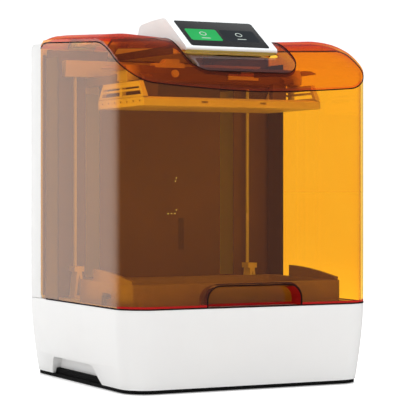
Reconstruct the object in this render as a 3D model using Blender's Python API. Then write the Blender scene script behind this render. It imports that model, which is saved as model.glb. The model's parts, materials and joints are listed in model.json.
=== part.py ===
"""Resin printer: white base and rear housing, amber flip-up cover, vat on a tilting bed, platform on a lead screw.

Metres, +Z up. The origin is the centre of the footprint on the ground. +X is the right side, -Y the front.
Lengths along Y are laid out from a datum plane 4 mm in front of that centre, and DATUM_Y moves them into place.
"""
import math

import bmesh
import bpy
from mathutils import Matrix, Vector

# ---- driving dimensions -------------------------------------------------------------------------------------
HALF_WIDTH = 0.1504
FRONT_Y = -0.136
REAR_Y = 0.144
DATUM_Y = -(FRONT_Y + REAR_Y) / 2
CORNER_RADIUS = 0.0336
REAR_CORNER_RADIUS = 0.010
GAP = 0.0003

FOOT_HEIGHT, FOOT_X, FOOT_INSET = 0.0052, 0.115, 0.034
BASE_BOTTOM = 0.005
BASE_TOP = 0.0898
BASE_TAPER = 0.008
BASE_WALL = 0.003

DECK_LOW, DECK_HIGH = 0.060, 0.062
LIGHT_CENTRE_Y = -0.0268
LIGHT_HALF_X, LIGHT_HALF_Y = 0.1095, 0.0635

COVER_LOW = 0.0901
COVER_WALL = 0.003
COVER_REAR_Y = 0.1055
ROOF_RUN = 0.0893
ROOF_THICK = 0.003
SCOOP_OUTER_HALF, SCOOP_INNER_HALF = 0.068, 0.0597
SCOOP_FRONT_Y, SCOOP_BACK_Y = -0.120, -0.0865
SCOOP_DEPTH = 0.008

HINGE_Y, HINGE_Z = 0.1056, 0.384

HOUSING_FRONT_Y = 0.1058
HOUSING_TOP = 0.385
LINER_Y = 0.099
LINER_TOP = 0.3655
LINER_TAB_TOP = 0.3755

HEAD_HALF = 0.0565
SCREEN_SLOPE = math.radians(33.7)
SCREEN_LONG, SCREEN_WIDE = 0.0556, 0.0966

SCREW_Y = 0.1095
SCREW_RADIUS = 0.004
RAIL_X = 0.055
ARM_X = 0.088
PLATE_LOW = 0.3049
PLATE_TOP = 0.3146
TRUSS_TOP = 0.3320
PLATE_HALF_X = 0.109
PLATE_FRONT_Y, PLATE_REAR_Y = -0.0878, 0.0342

PIVOT_X, PIVOT_Z = 0.124, 0.070
BED_LOW, BED_HIGH = 0.076, 0.0862
VAT_LOW, VAT_RIM = 0.087, 0.1137
VAT_HALF_X = 0.127
VAT_FRONT_Y, VAT_REAR_Y = -0.106, 0.0524
CAM_X, CAM_Z, CAM_Y = -0.118, 0.0485, 0.042
CAM_HIGH_RADIUS, CAM_LOW_RADIUS = 0.0266, 0.0166
CAM_TRAVEL = math.radians(150)


# ---- scene and material helpers -----------------------------------------------------------------------------
def clear_scene():
    for item in list(bpy.data.objects):
        bpy.data.objects.remove(item, do_unlink=True)


def material(name, colour, roughness, metallic=0.0, transmission=0.0):
    made = bpy.data.materials.get(name)
    if made:
        return made
    made = bpy.data.materials.new(name)
    made.use_nodes = True
    shader = made.node_tree.nodes["Principled BSDF"]
    shader.inputs["Base Color"].default_value = (*colour, 1.0)
    shader.inputs["Roughness"].default_value = roughness
    shader.inputs["Metallic"].default_value = metallic
    shader.inputs["Transmission Weight"].default_value = transmission
    return made


def white_plastic():
    return material("white_plastic", (0.82, 0.82, 0.81), 0.35)


def amber_plastic():
    return material("amber_plastic", (0.85, 0.30, 0.02), 0.08, 0.0, 0.8)


def black_plastic():
    return material("black_plastic", (0.03, 0.03, 0.035), 0.45)


def anodised_metal():
    return material("anodised_metal", (0.72, 0.72, 0.74), 0.30, 1.0)


def steel():
    return material("steel", (0.60, 0.60, 0.62), 0.25, 1.0)


def rubber():
    return material("rubber", (0.05, 0.05, 0.05), 0.8)


def dark_glass():
    return material("dark_glass", (0.02, 0.02, 0.025), 0.05)


def circuit_green():
    return material("circuit_green", (0.03, 0.20, 0.08), 0.5)


# ---- mesh helpers -------------------------------------------------------------------------------------------
def is_flat(face):
    centre, normal = face.calc_center_median(), face.normal
    return all(abs((vert.co - centre).dot(normal)) < 1e-7 for vert in face.verts)


def solid(name, points, faces, look=None, smooth_angle=None):
    """One mesh object from points and faces, with its faces turned outwards."""
    mesh = bpy.data.meshes.new(name)
    mesh.from_pydata([tuple(p) for p in points], [], faces)
    work = bmesh.new()
    work.from_mesh(mesh)
    bmesh.ops.recalc_face_normals(work, faces=work.faces)
    bent = [face for face in work.faces if not is_flat(face)]
    bmesh.ops.triangulate(work, faces=bent)
    work.to_mesh(mesh)
    work.free()
    if look:
        mesh.materials.append(look)
    if smooth_angle:
        mesh.shade_smooth()
        mesh.set_sharp_from_angle(angle=math.radians(smooth_angle))
    made = bpy.data.objects.new(name, mesh)
    made.location.y = DATUM_Y
    bpy.context.scene.collection.objects.link(made)
    return made


def loft(name, rings, look=None, smooth_angle=None):
    """A closed body through a row of rings with the same number of points, capped at both ends."""
    count = len(rings[0])
    points = [p for ring in rings for p in ring]
    faces = [tuple(range(count)), tuple(range(len(points) - count, len(points)))]
    for level in range(len(rings) - 1):
        for i in range(count):
            j = (i + 1) % count
            a, b = level * count, (level + 1) * count
            faces.append((a + i, a + j, b + j, b + i))
    return solid(name, points, faces, look, smooth_angle)


def placed(outline, axis, level):
    """2-D outline points set at a level along axis: Z takes (x, y), Y takes (x, z), X takes (y, z)."""
    if axis == "Z":
        return [(a, b, level) for a, b in outline]
    if axis == "Y":
        return [(a, level, b) for a, b in outline]
    return [(level, a, b) for a, b in outline]


def prism(name, outline, axis, low, high, look=None, smooth_angle=None):
    return loft(name, [placed(outline, axis, low), placed(outline, axis, high)], look, smooth_angle)


def rectangle(low_a, high_a, low_b, high_b):
    return [(low_a, low_b), (high_a, low_b), (high_a, high_b), (low_a, high_b)]


def block(name, x, y, z, look=None):
    """A box given by its (low, high) pairs."""
    return prism(name, rectangle(*x, *y), "Z", z[0], z[1], look)


def circle(centre, radius, segments):
    step = math.tau / segments
    return [(centre[0] + radius * math.cos(i * step), centre[1] + radius * math.sin(i * step))
            for i in range(segments)]


def rounded_rectangle(low_a, high_a, low_b, high_b, radius, segments=6, far_radius=None):
    """Outline with corner arcs, anticlockwise from the lower right corner; far_radius is for the high_b corners."""
    far = far_radius or radius
    corners = ((high_a - radius, low_b + radius, radius, -90), (high_a - far, high_b - far, far, 0),
               (low_a + far, high_b - far, far, 90), (low_a + radius, low_b + radius, radius, 180))
    outline = []
    for centre_a, centre_b, arc, start in corners:
        for i in range(segments + 1):
            angle = math.radians(start + 90 * i / segments)
            outline.append((centre_a + arc * math.cos(angle), centre_b + arc * math.sin(angle)))
    return outline


def combine(target, tool, operation):
    change = target.modifiers.new(operation.lower(), "BOOLEAN")
    change.operation = operation
    change.solver = "EXACT"
    change.object = tool
    tool.hide_render = True
    tool.display_type = "WIRE"
    return target


def cut(target, *tools):
    for tool in tools:
        combine(target, tool, "DIFFERENCE")
    return target


def fuse(target, *tools):
    for tool in tools:
        combine(target, tool, "UNION")
    return target


def guide(shape_function, name, *sizes, **more):
    """A helper body used only by booleans."""
    return shape_function("tool_" + name, *sizes, **more)


def joint_empty(name, x, y, z):
    """An empty that stands on a joint's axis and carries the moving pieces."""
    pivot = bpy.data.objects.new(name, None)
    pivot.location = (x, y + DATUM_Y, z)
    bpy.context.scene.collection.objects.link(pivot)
    return pivot


def carry(pivot, *pieces):
    for piece in pieces:
        piece.parent = pivot
        piece.matrix_parent_inverse = Matrix.Translation(-pivot.location)
    return pieces


# ---- base ---------------------------------------------------------------------------------------------------
def base_inset(z):
    """How far the base's wall stands inside its top outline at height z."""
    rise = min(1.0, max(0.0, (z - BASE_BOTTOM) / (BASE_TOP - BASE_BOTTOM)))
    return BASE_TAPER * (1.0 - rise) ** 1.6


def base_ring(z, inward):
    inset = base_inset(z) + inward
    outline = rounded_rectangle(-HALF_WIDTH + inset, HALF_WIDTH - inset, FRONT_Y + inset, REAR_Y - inset,
                                CORNER_RADIUS - inset * 0.6, 6, REAR_CORNER_RADIUS - inset * 0.6)
    return placed(outline, "Z", z)


GRIP_OUTLINE = [(-0.058, 0.000), (-0.0415, 0.0135), (-0.0320, 0.0247), (0.0800, 0.0247), (0.0920, 0.000)]
GRIP_LINING = [(-0.064, 0.000), (-0.0450, 0.0150), (-0.0345, 0.0277), (0.0825, 0.0277), (0.0960, 0.000)]
GRIP_DEPTH = 0.0164


def base_shell():
    levels = [0.0, 0.06, 0.15, 0.28, 0.5, 0.75, 1.0]
    heights = [BASE_BOTTOM + (BASE_TOP - BASE_BOTTOM) * t for t in levels]
    shell = loft("base_shell", [base_ring(z, 0.0) for z in heights], white_plastic(), 40)
    inner_heights = [0.001] + heights[1:-1] + [BASE_TOP - BASE_WALL]
    hollow = guide(loft, "base_hollow", [base_ring(z, BASE_WALL) for z in inner_heights])
    for side in (-1, 1):
        reach = sorted((side * (HALF_WIDTH - GRIP_DEPTH - BASE_WALL), side * (HALF_WIDTH + 0.002)))
        cut(hollow, guide(prism, "grip_lining", GRIP_LINING, "X", *reach))
    cut(shell, hollow)
    for side in (-1, 1):
        reach = sorted((side * (HALF_WIDTH - GRIP_DEPTH), side * (HALF_WIDTH + 0.003)))
        cut(shell, guide(prism, "grip", GRIP_OUTLINE, "X", *reach))
    top = (BASE_TOP - 0.006, BASE_TOP + 0.006)
    cut(shell, guide(prism, "bed_opening", rounded_rectangle(-0.1385, 0.1385, -0.1175, 0.0625, 0.008, 3), "Z", *top))
    cut(shell, guide(prism, "screw_passage", circle((0, SCREW_Y), 0.0075, 16), "Z", *top))
    through_rear = (REAR_Y - 0.016, REAR_Y + 0.004)
    cut(shell, guide(block, "inlet_opening", (-0.1123, -0.0537), through_rear, (0.0297, 0.0598)))
    cut(shell, guide(block, "usb_opening", (0.130, 0.154), (-0.0753, -0.0597), (0.0337, 0.0423)))
    for slot in range(7):
        x = 0.036 + 0.008 * slot
        cut(shell, guide(block, "vent_slot", (x - 0.0018, x + 0.0018), through_rear, (0.024, 0.066)))
    return shell


TRAY_LOW, TRAY_TOP = 0.0012, 0.0075
FLANGE_TOP = BASE_BOTTOM - GAP
FLANGE_INSET = BASE_TAPER + 0.0012


def base_plate():
    """Tray that closes the base from below: a flange under the wall, a raised floor and a well for each foot."""
    outline = rounded_rectangle(-0.1385, 0.1385, -0.1240, 0.1320, 0.0255, 5, 0.005)
    plate = prism("base_plate", outline, "Z", TRAY_LOW, TRAY_TOP, steel())
    edge = HALF_WIDTH - FLANGE_INSET
    flange = rounded_rectangle(-edge, edge, FRONT_Y + FLANGE_INSET, REAR_Y - FLANGE_INSET,
                               CORNER_RADIUS - FLANGE_INSET * 0.6, 5, REAR_CORNER_RADIUS - FLANGE_INSET * 0.6)
    for side in (-1, 1):
        reach = sorted((side * 0.1303, side * 0.145))
        cut(plate, guide(block, "plate_notch", reach, (-0.066, 0.099), (0.000, 0.009)))
    fuse(plate, guide(prism, "flange", flange, "Z", TRAY_LOW, FLANGE_TOP))
    for x in (-FOOT_X, FOOT_X):
        for y in (FRONT_Y + FOOT_INSET, REAR_Y - FOOT_INSET):
            cut(plate, guide(prism, "foot_well", circle((x, y), 0.0114, 16), "Z", 0.0, FOOT_HEIGHT + GAP))
    return plate


def foot(name, x, y):
    rings = [placed(circle((x, y), radius, 16), "Z", z) for radius, z in ((0.0095, 0.0), (0.0110, FOOT_HEIGHT))]
    return loft(name, rings, rubber(), 40)


def chassis_deck():
    outline = rounded_rectangle(-0.1435, 0.1435, -0.1295, 0.1370, 0.028, 5, 0.006)
    deck = prism("chassis_deck", outline, "Z", DECK_LOW, DECK_HIGH, steel())
    for low in (-0.0975, 0.031):
        fuse(deck, guide(block, "pivot_post", (0.1165, 0.1315), (low, low + 0.0055), (0.061, 0.0750)))
    cut(deck, guide(block, "light_window", (-LIGHT_HALF_X, LIGHT_HALF_X),
                    (LIGHT_CENTRE_Y - LIGHT_HALF_Y, LIGHT_CENTRE_Y + LIGHT_HALF_Y), (0.055, 0.066)))
    cut(deck, guide(prism, "screw_hole", circle((0, SCREW_Y), 0.0075, 16), "Z", 0.055, 0.066))
    cut(deck, guide(block, "cam_window", (-0.1425, -0.0900), (0.0385, 0.083), (0.055, 0.066)))
    cut(deck, guide(prism, "pivot_hole", circle((PIVOT_X, PIVOT_Z), 0.0034, 16), "Y", -0.110, 0.060))
    return deck


def light_ring(half_x, half_y, z):
    return placed(rectangle(-half_x, half_x, LIGHT_CENTRE_Y - half_y, LIGHT_CENTRE_Y + half_y), "Z", z)


def light_source():
    housing = loft("uv_light_housing", [light_ring(0.058, 0.038, 0.0345), light_ring(0.1115, 0.0655, 0.0597)],
                   black_plastic())
    cut(housing, guide(loft, "light_hollow", [light_ring(0.0539, 0.0356, 0.0335), light_ring(0.1110, 0.0650, 0.0607)]))
    lens = prism("uv_lens", rounded_rectangle(-0.109, 0.109, LIGHT_CENTRE_Y - 0.063, LIGHT_CENTRE_Y + 0.063, 0.001, 1),
                 "Z", 0.0600, 0.0619, dark_glass())
    board = block("uv_led_board", (-0.057, 0.057), (LIGHT_CENTRE_Y - 0.037, LIGHT_CENTRE_Y + 0.037),
                  (0.0322, 0.0342), anodised_metal())
    for row in range(-1, 2):
        for column in range(-2, 3):
            x, y = column * 0.0205, LIGHT_CENTRE_Y + row * 0.022
            fuse(board, guide(block, "led", (x - 0.003, x + 0.003), (y - 0.003, y + 0.003), (0.0335, 0.0356)))
    return housing, lens, board


def heat_sink():
    """One comb outline: a flat back with fins hanging from it."""
    half, fins, base_z, top_z, bottom_z = 0.056, 11, 0.0275, 0.0319, 0.0090
    pitch, thick = 2 * half / (fins - 1 + 0.25), 0.0028
    outline = [(-half, top_z)]
    for fin in range(fins):
        left = -half + fin * pitch
        outline += [(left, base_z), (left, bottom_z), (left + thick, bottom_z), (left + thick, base_z)]
    outline.append((half, top_z))
    outline = [outline[0]] + outline[2:-2] + [(half, base_z), outline[-1]]
    outline[-3] = (half, bottom_z)
    return prism("uv_heat_sink", outline, "Y", LIGHT_CENTRE_Y - 0.036, LIGHT_CENTRE_Y + 0.036, anodised_metal())


def mainboard():
    board = block("mainboard", (0.074, 0.127), (-0.095, 0.030), (0.0100, 0.0116), circuit_green())
    parts = (((0.080, 0.100), (-0.080, -0.060), 0.0160), ((0.106, 0.120), (-0.050, -0.030), 0.0200),
             ((0.080, 0.096), (-0.040, -0.010), 0.0180), ((0.104, 0.122), (0.000, 0.018), 0.0220))
    for x, y, top in parts:
        fuse(board, guide(block, "board_part", x, y, (0.0108, top)))
    return board


def power_supply():
    case = block("power_supply", (-0.125, -0.070), (-0.090, 0.020), (0.0080, 0.0350), anodised_metal())
    for slot in range(5):
        y = -0.075 + 0.020 * slot
        cut(case, guide(block, "case_slot", (-0.115, -0.080), (y, y + 0.004), (0.030, 0.037)))
    return case


def usb_port():
    port = block("usb_port", (0.1330, 0.1480), (-0.0750, -0.0600), (0.0340, 0.0420), steel())
    return cut(port, guide(block, "usb_mouth", (0.1370, 0.1500), (-0.0735, -0.0615), (0.0355, 0.0405)))


def power_inlet():
    """Flanged frame on the rear wall: a socket on the left half and an open bay for the rocker on the right."""
    face = REAR_Y - GAP
    outside = REAR_Y + 0.004
    inlet = block("power_inlet", (-0.1120, -0.0540), (face - 0.0277, face), (0.0300, 0.0595), black_plastic())
    cut(inlet, guide(prism, "socket", rounded_rectangle(-0.1090, -0.0810, 0.0350, 0.0550, 0.004, 2), "Y",
                     face - 0.0177, outside))
    for x in (-0.1020, -0.0950, -0.0880):
        fuse(inlet, guide(block, "blade", (x - 0.001, x + 0.001), (face - 0.0197, face - 0.0037), (0.0430, 0.0480)))
    return cut(inlet, guide(block, "rocker_bay", (-0.0745, -0.0575), (face - 0.0157, outside), (0.0335, 0.0565)))


ROCKER_Y, ROCKER_Z, ROCKER_HALF = REAR_Y - 0.0085, 0.045, 0.0105


def power_rocker():
    """A shallow V seen from the side, pivoting on its middle."""
    back, face = ROCKER_Y - 0.0035, ROCKER_Y + 0.0060
    outline = [(back, ROCKER_Z - ROCKER_HALF), (face, ROCKER_Z - ROCKER_HALF), (face - 0.001, ROCKER_Z),
               (face, ROCKER_Z + ROCKER_HALF), (back, ROCKER_Z + ROCKER_HALF), (back - 0.0015, ROCKER_Z)]
    rocker = prism("power_rocker", outline, "X", -0.0741, -0.0579, black_plastic())
    carry(joint_empty("power_rocker_axis", -0.066, ROCKER_Y, ROCKER_Z), rocker)
    return rocker


FAN_X, FAN_Y, FAN_Z = 0.060, REAR_Y - 0.0205, 0.0395
FAN_BORE_RADIUS, FAN_HUB_RADIUS = 0.0185, 0.0070


def cooling_fan():
    frame = block("cooling_fan_frame", (FAN_X - 0.026, FAN_X + 0.026), (FAN_Y - 0.0075, FAN_Y + 0.0075),
                  (0.0195, 0.0592), black_plastic())
    cut(frame, guide(prism, "fan_bore", circle((FAN_X, FAN_Z), FAN_BORE_RADIUS, 24), "Y", FAN_Y - 0.015, FAN_Y + 0.015))
    hub = prism("cooling_fan_rotor", circle((FAN_X, FAN_Z), FAN_HUB_RADIUS, 12), "Y", FAN_Y - 0.006, FAN_Y + 0.006,
                black_plastic(), 40)
    for blade in range(5):
        fuse(hub, guide(fan_blade, "blade", math.tau * blade / 5))
    carry(joint_empty("cooling_fan_axis", FAN_X, FAN_Y, FAN_Z), hub)
    return frame, hub


def fan_blade(name, angle):
    """A twisted slab that reaches from inside the hub to near the bore."""
    rings = []
    for radius, tilt in ((FAN_HUB_RADIUS - 0.0015, 0.9), (FAN_BORE_RADIUS - 0.0020, 0.6)):
        ring = []
        for along, through in ((-0.0045, -0.0005), (0.0045, -0.0005), (0.0045, 0.0005), (-0.0045, 0.0005)):
            y = FAN_Y + along * math.cos(tilt) - through * math.sin(tilt)
            side = along * math.sin(tilt) + through * math.cos(tilt)
            x = FAN_X + radius * math.cos(angle) - side * math.sin(angle)
            z = FAN_Z + radius * math.sin(angle) + side * math.cos(angle)
            ring.append((x, y, z))
        rings.append(ring)
    return loft(name, rings)


# ---- tilting bed and vat ------------------------------------------------------------------------------------
def pivot_pin():
    return prism("tilt_pivot_pin", circle((PIVOT_X, PIVOT_Z), 0.003, 16), "Y", -0.0980, 0.0480, steel(), 40)


def tilt_bed():
    bed = prism("tilt_bed", rounded_rectangle(-0.134, 0.134, -0.112, 0.057, 0.006, 3), "Z", BED_LOW, BED_HIGH,
                anodised_metal())
    for low in (-0.0910, 0.0375):
        fuse(bed, guide(block, "pivot_lug", (0.1190, 0.1290), (low, low + 0.008), (0.0648, 0.080)))
    cut(bed, guide(prism, "pivot_bore", circle((PIVOT_X, PIVOT_Z), 0.0034, 16), "Y", -0.120, 0.060))
    cut(bed, guide(block, "panel_recess", (-0.1135, 0.1135), (LIGHT_CENTRE_Y - 0.0675, LIGHT_CENTRE_Y + 0.0675),
                   (0.0834, 0.0900)))
    cut(bed, guide(block, "panel_window", (-0.107, 0.107), (LIGHT_CENTRE_Y - 0.0605, LIGHT_CENTRE_Y + 0.0605),
                   (0.070, 0.0900)))
    for side in (-1, 1):
        cut(bed, guide(prism, "clamp_bore", circle((side * CLAMP_X, CLAMP_Y), 0.0019, 12), "Z", 0.0790, 0.0900))
    return bed


def lcd_panel():
    return prism("lcd_panel", rounded_rectangle(-0.113, 0.113, LIGHT_CENTRE_Y - 0.067, LIGHT_CENTRE_Y + 0.067,
                                                0.002, 2), "Z", 0.0837, BED_HIGH, dark_glass())


def release_film():
    return prism("release_film", rounded_rectangle(-0.120, 0.120, -0.0955, 0.0415, 0.006, 3), "Z",
                 BED_HIGH + GAP, BED_HIGH + 2 * GAP, dark_glass())


def fin_outline():
    """Side fin seen from the side: a convex top that climbs to the rear and ends in a step."""
    front, rear, foot_z = VAT_FRONT_Y + 0.010, 0.008, 0.105
    low, high = 0.1173, 0.1265
    steps = 8
    outline = [(rear, foot_z), (front, foot_z)]
    for i in range(steps + 1):
        share = i / steps
        outline.append((front + (rear - front) * share, low + (high - low) * math.sin(share * math.pi / 2)))
    return outline


def vat_tub():
    outer = rounded_rectangle(-VAT_HALF_X, VAT_HALF_X, VAT_FRONT_Y, VAT_REAR_Y, 0.010, 5)
    tub = prism("vat_tub", outer, "Z", VAT_LOW, VAT_RIM, black_plastic(), 40)
    for side in (-1, 1):
        reach = sorted((side * 0.1225, side * (VAT_HALF_X - 0.0002)))
        fuse(tub, guide(prism, "fin", fin_outline(), "X", *reach))
    well = [placed(rounded_rectangle(-half, half, LIGHT_CENTRE_Y - deep, LIGHT_CENTRE_Y + deep, 0.010, 4), "Z", z)
            for half, deep, z in ((0.1120, 0.0650, 0.0860), (0.1175, 0.0720, VAT_RIM + 0.0005))]
    cut(tub, guide(loft, "well", well))
    for side in (-1, 1):
        reach = sorted((side * 0.1200, side * 0.1300))
        cut(tub, guide(block, "clamp_ledge", reach, (CLAMP_Y - 0.011, CLAMP_Y + 0.011), (0.0950, 0.1020)))
    return tub


CLAMP_X, CLAMP_Y = 0.1305, -0.030


def vat_clamp(name, side):
    """A turn button: a post in the bed with a finger that lies in the vat's ledge."""
    centre = (side * CLAMP_X, CLAMP_Y)
    post = prism(name, circle(centre, 0.0016, 12), "Z", 0.0800, 0.0975, black_plastic(), 40)
    fuse(post, guide(prism, "collar", circle(centre, 0.0026, 12), "Z", 0.0866, 0.0970))
    reach = sorted((side * (CLAMP_X + 0.0026), side * (CLAMP_X - 0.0085)))
    fuse(post, guide(prism, "finger", rounded_rectangle(*reach, CLAMP_Y - 0.0026, CLAMP_Y + 0.0026, 0.0025, 3),
                     "Z", 0.0965, 0.1000))
    carry(joint_empty(name + "_axis", side * CLAMP_X, CLAMP_Y, 0.095), post)
    return post


def tilt_cam():
    """A snail cam: its radius falls evenly over the working turn, so its turn follows the bed's tilt."""
    steps = 30
    outline = []
    for i in range(steps):
        angle = math.tau * i / steps
        if angle <= CAM_TRAVEL:
            radius = CAM_HIGH_RADIUS - (CAM_HIGH_RADIUS - CAM_LOW_RADIUS) * angle / CAM_TRAVEL
        elif angle < math.radians(290):
            radius = CAM_LOW_RADIUS
        else:
            share = (angle - math.radians(290)) / math.radians(70)
            radius = CAM_LOW_RADIUS + (CAM_HIGH_RADIUS - CAM_LOW_RADIUS) * share
        outline.append((CAM_X - radius * math.sin(angle), CAM_Z + radius * math.cos(angle)))
    cam = prism("tilt_cam", outline, "Y", CAM_Y, CAM_Y + 0.005, steel())
    fuse(cam, guide(prism, "cam_shaft", circle((CAM_X, CAM_Z), 0.0025, 12), "Y", CAM_Y + 0.004, 0.056))
    carry(joint_empty("tilt_cam_axis", CAM_X, CAM_Y, CAM_Z), cam)
    return cam


def tilt_motor():
    body = prism("tilt_motor", rounded_rectangle(CAM_X - 0.014, CAM_X + 0.014, CAM_Z - 0.014, CAM_Z + 0.014,
                                                 0.003, 2), "Y", 0.0480, 0.0800, black_plastic())
    return cut(body, guide(prism, "motor_bore", circle((CAM_X, CAM_Z), 0.0029, 12), "Y", 0.0470, 0.0580))


# ---- rear housing, column and drive ---------------------------------------------------------------------------
def housing_outline(inward, front_y):
    """Plan of the rear housing: a flat front and two round rear corners."""
    radius = REAR_CORNER_RADIUS - inward
    half, rear = HALF_WIDTH - inward, REAR_Y - inward
    outline = [(-half, front_y), (half, front_y)]
    for centre_x, start in ((half - radius, 0), (-half + radius, 90)):
        for i in range(7):
            angle = math.radians(start + 15 * i)
            outline.append((centre_x + radius * math.cos(angle), rear - radius + radius * math.sin(angle)))
    return outline


def rear_housing():
    rings = [placed(housing_outline(inset, HOUSING_FRONT_Y), "Z", z)
             for inset, z in ((0.0, COVER_LOW), (0.0, HOUSING_TOP - 0.007), (0.0008, HOUSING_TOP - 0.0038),
                              (0.0028, HOUSING_TOP - 0.0012), (0.0065, HOUSING_TOP))]
    shell = loft("rear_housing", rings, white_plastic(), 40)
    cut(shell, guide(prism, "housing_hollow", housing_outline(BASE_WALL, 0.100), "Z", 0.0930, 0.3700))
    cut(shell, guide(block, "neck_seat", (-HEAD_HALF - 0.0004, HEAD_HALF + 0.0004), (0.100, 0.150), (0.3727, 0.390)))
    cut(shell, guide(prism, "floor_passage", circle((0, SCREW_Y), 0.0075, 16), "Z", 0.085, 0.096))
    for side in (-1, 1):
        cut(shell, guide(block, "hinge_notch", sorted((side * 0.0835, side * 0.1165)), (0.100, 0.1145),
                         (0.3760, 0.390)))
    return shell


def rear_liner():
    """Dark panel behind the build space with a forward flange on each side and two slots for the arms."""
    outer, inner, depth = 0.1466, 0.1448, 0.064
    outline = [(-outer, depth), (-inner, depth), (-inner, LINER_Y), (inner, LINER_Y), (inner, depth), (outer, depth),
               (outer, LINER_Y + 0.002), (-outer, LINER_Y + 0.002)]
    panel = prism("rear_liner", outline, "Z", 0.0901, LINER_TOP, black_plastic())
    for side in (-1, 1):
        tab = sorted((side * (SCOOP_OUTER_HALF + 0.001), side * inner))
        fuse(panel, guide(block, "upper_tab", tab, (LINER_Y, LINER_Y + 0.002), (LINER_TOP - 0.001, LINER_TAB_TOP)))
        cut(panel, guide(block, "arm_slot", sorted((side * 0.0790, side * 0.0970)), (0.090, 0.110), (0.1130, 0.3460)))
    return panel


def linear_rail(name, side):
    x = side * RAIL_X
    return block(name, (x - 0.0045, x + 0.0045), (0.1280, REAR_Y - BASE_WALL - GAP), (0.0934, 0.3696), steel())


def rail_block(name, side):
    x = side * RAIL_X
    outline = [(x - 0.012, 0.1264), (x + 0.012, 0.1264), (x + 0.012, 0.1320), (x + 0.0050, 0.1320),
               (x + 0.0050, 0.1275), (x - 0.0050, 0.1275), (x - 0.0050, 0.1320), (x - 0.012, 0.1320)]
    return prism(name, outline, "Z", 0.3280, 0.3580, steel())


def z_motor():
    body = prism("z_motor", rounded_rectangle(-0.0175, 0.0175, 0.092, 0.127, 0.004, 2), "Z", 0.0262, 0.0597,
                 black_plastic())
    return cut(body, guide(prism, "shaft_bore", circle((0, SCREW_Y), 0.0045, 16), "Z", 0.0400, 0.0650))


def lead_screw():
    screw = prism("lead_screw", circle((0, SCREW_Y), SCREW_RADIUS, 16), "Z", 0.0450, 0.3690, steel(), 40)
    fuse(screw, guide(prism, "coupler", circle((0, SCREW_Y), 0.0065, 16), "Z", 0.0640, 0.0850))
    carry(joint_empty("lead_screw_axis", 0, SCREW_Y, 0.2), screw)
    return screw


def screw_nut():
    nut = block("screw_nut", (-0.013, 0.013), (0.1022, 0.1166), (0.3340, 0.3540), anodised_metal())
    return cut(nut, guide(prism, "nut_bore", circle((0, SCREW_Y), 0.0045, 16), "Z", 0.330, 0.360))


def screw_bearing():
    bearing = block("screw_end_bearing", (-0.012, 0.012), (0.1022, 0.1180), (0.3632, 0.3697), black_plastic())
    return cut(bearing, guide(prism, "bearing_bore", circle((0, SCREW_Y), 0.0045, 16), "Z", 0.360, 0.372))


STAY_X, STAY_Y, STAY_BLOCK_TOP = 0.1129, 0.093, 0.1265


def stay_rod(name, side):
    return prism(name, circle((side * STAY_X, STAY_Y), 0.002, 12), "Z", STAY_BLOCK_TOP + GAP, 0.3447, steel(), 40)


def stay_foot(name, side):
    """Block on an A-shaped stand, under each stay rod."""
    x, block_low = side * STAY_X, STAY_BLOCK_TOP - 0.006
    outline = [(x - 0.0062, COVER_LOW), (x + 0.0062, COVER_LOW), (x + 0.0030, block_low), (x + 0.0060, block_low),
               (x + 0.0060, STAY_BLOCK_TOP), (x - 0.0060, STAY_BLOCK_TOP), (x - 0.0060, block_low),
               (x - 0.0030, block_low)]
    stand = prism(name, outline, "Y", 0.0795, 0.0965, anodised_metal())
    window = [(x - 0.0035, COVER_LOW + 0.003), (x + 0.0035, COVER_LOW + 0.003), (x, block_low - 0.003)]
    return cut(stand, guide(prism, "stand_window", window, "Y", 0.070, 0.105))


def top_beam():
    outline = [(0.0860, 0.3560), (0.0860, 0.3637), (0.0986, 0.3637), (0.0986, 0.3450), (0.0900, 0.3450)]
    return prism("top_beam", outline, "X", -0.127, 0.127, anodised_metal())


# ---- platform -----------------------------------------------------------------------------------------------
def carriage_beam():
    beam = block("carriage_beam", (-0.099, 0.099), (0.1170, 0.1260), (0.3270, 0.3590), anodised_metal())
    for side in (-1, 1):
        cut(beam, guide(block, "beam_pocket", sorted((side * 0.020, side * 0.040)), (0.110, 0.130), (0.335, 0.351)))
    return beam


LEVER_X, LEVER_Z, LEVER_HEEL = 0.1130, 0.3475, 0.003
LEVER_FRONT_Y, LEVER_REAR_Y = -0.0430, -0.0210
TRUSS_INNER_X, TRUSS_OUTER_X = 0.1035, 0.1088


def platform_frame():
    """Two arms from the carriage, a cross bar near their front ends, and posts and hangers down to the plate."""
    arm = [(0.1166, 0.3340), (0.1166, 0.3444), (-0.0400, 0.3444), (-0.0540, 0.3380), (-0.0540, 0.3340)]
    frame = prism("platform_frame", arm, "X", -ARM_X - 0.006, -ARM_X + 0.006, anodised_metal())
    fuse(frame, guide(prism, "second_arm", arm, "X", ARM_X - 0.006, ARM_X + 0.006))
    front, rear = LEVER_FRONT_Y - 0.002, LEVER_REAR_Y + 0.002
    bar = [(front, 0.3340), (rear, 0.3340), (rear, 0.3470), (rear - 0.004, 0.3510), (front + 0.004, 0.3510),
           (front, 0.3430)]
    bar_half = LEVER_X - LEVER_HEEL - 0.0005
    fuse(frame, guide(prism, "cross_bar", bar, "X", -bar_half, bar_half))
    for side in (-1, 1):
        fuse(frame, guide(block, "post", sorted((side * TRUSS_INNER_X, side * 0.1085)), (LEVER_FRONT_Y, LEVER_REAR_Y),
                          (TRUSS_TOP + GAP, 0.3350)))
        fuse(frame, guide(block, "hanger", sorted((side * 0.0720, side * 0.0895)), (-0.0440, -0.0360),
                          (PLATE_TOP + GAP, 0.3345)))
    return frame


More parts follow.
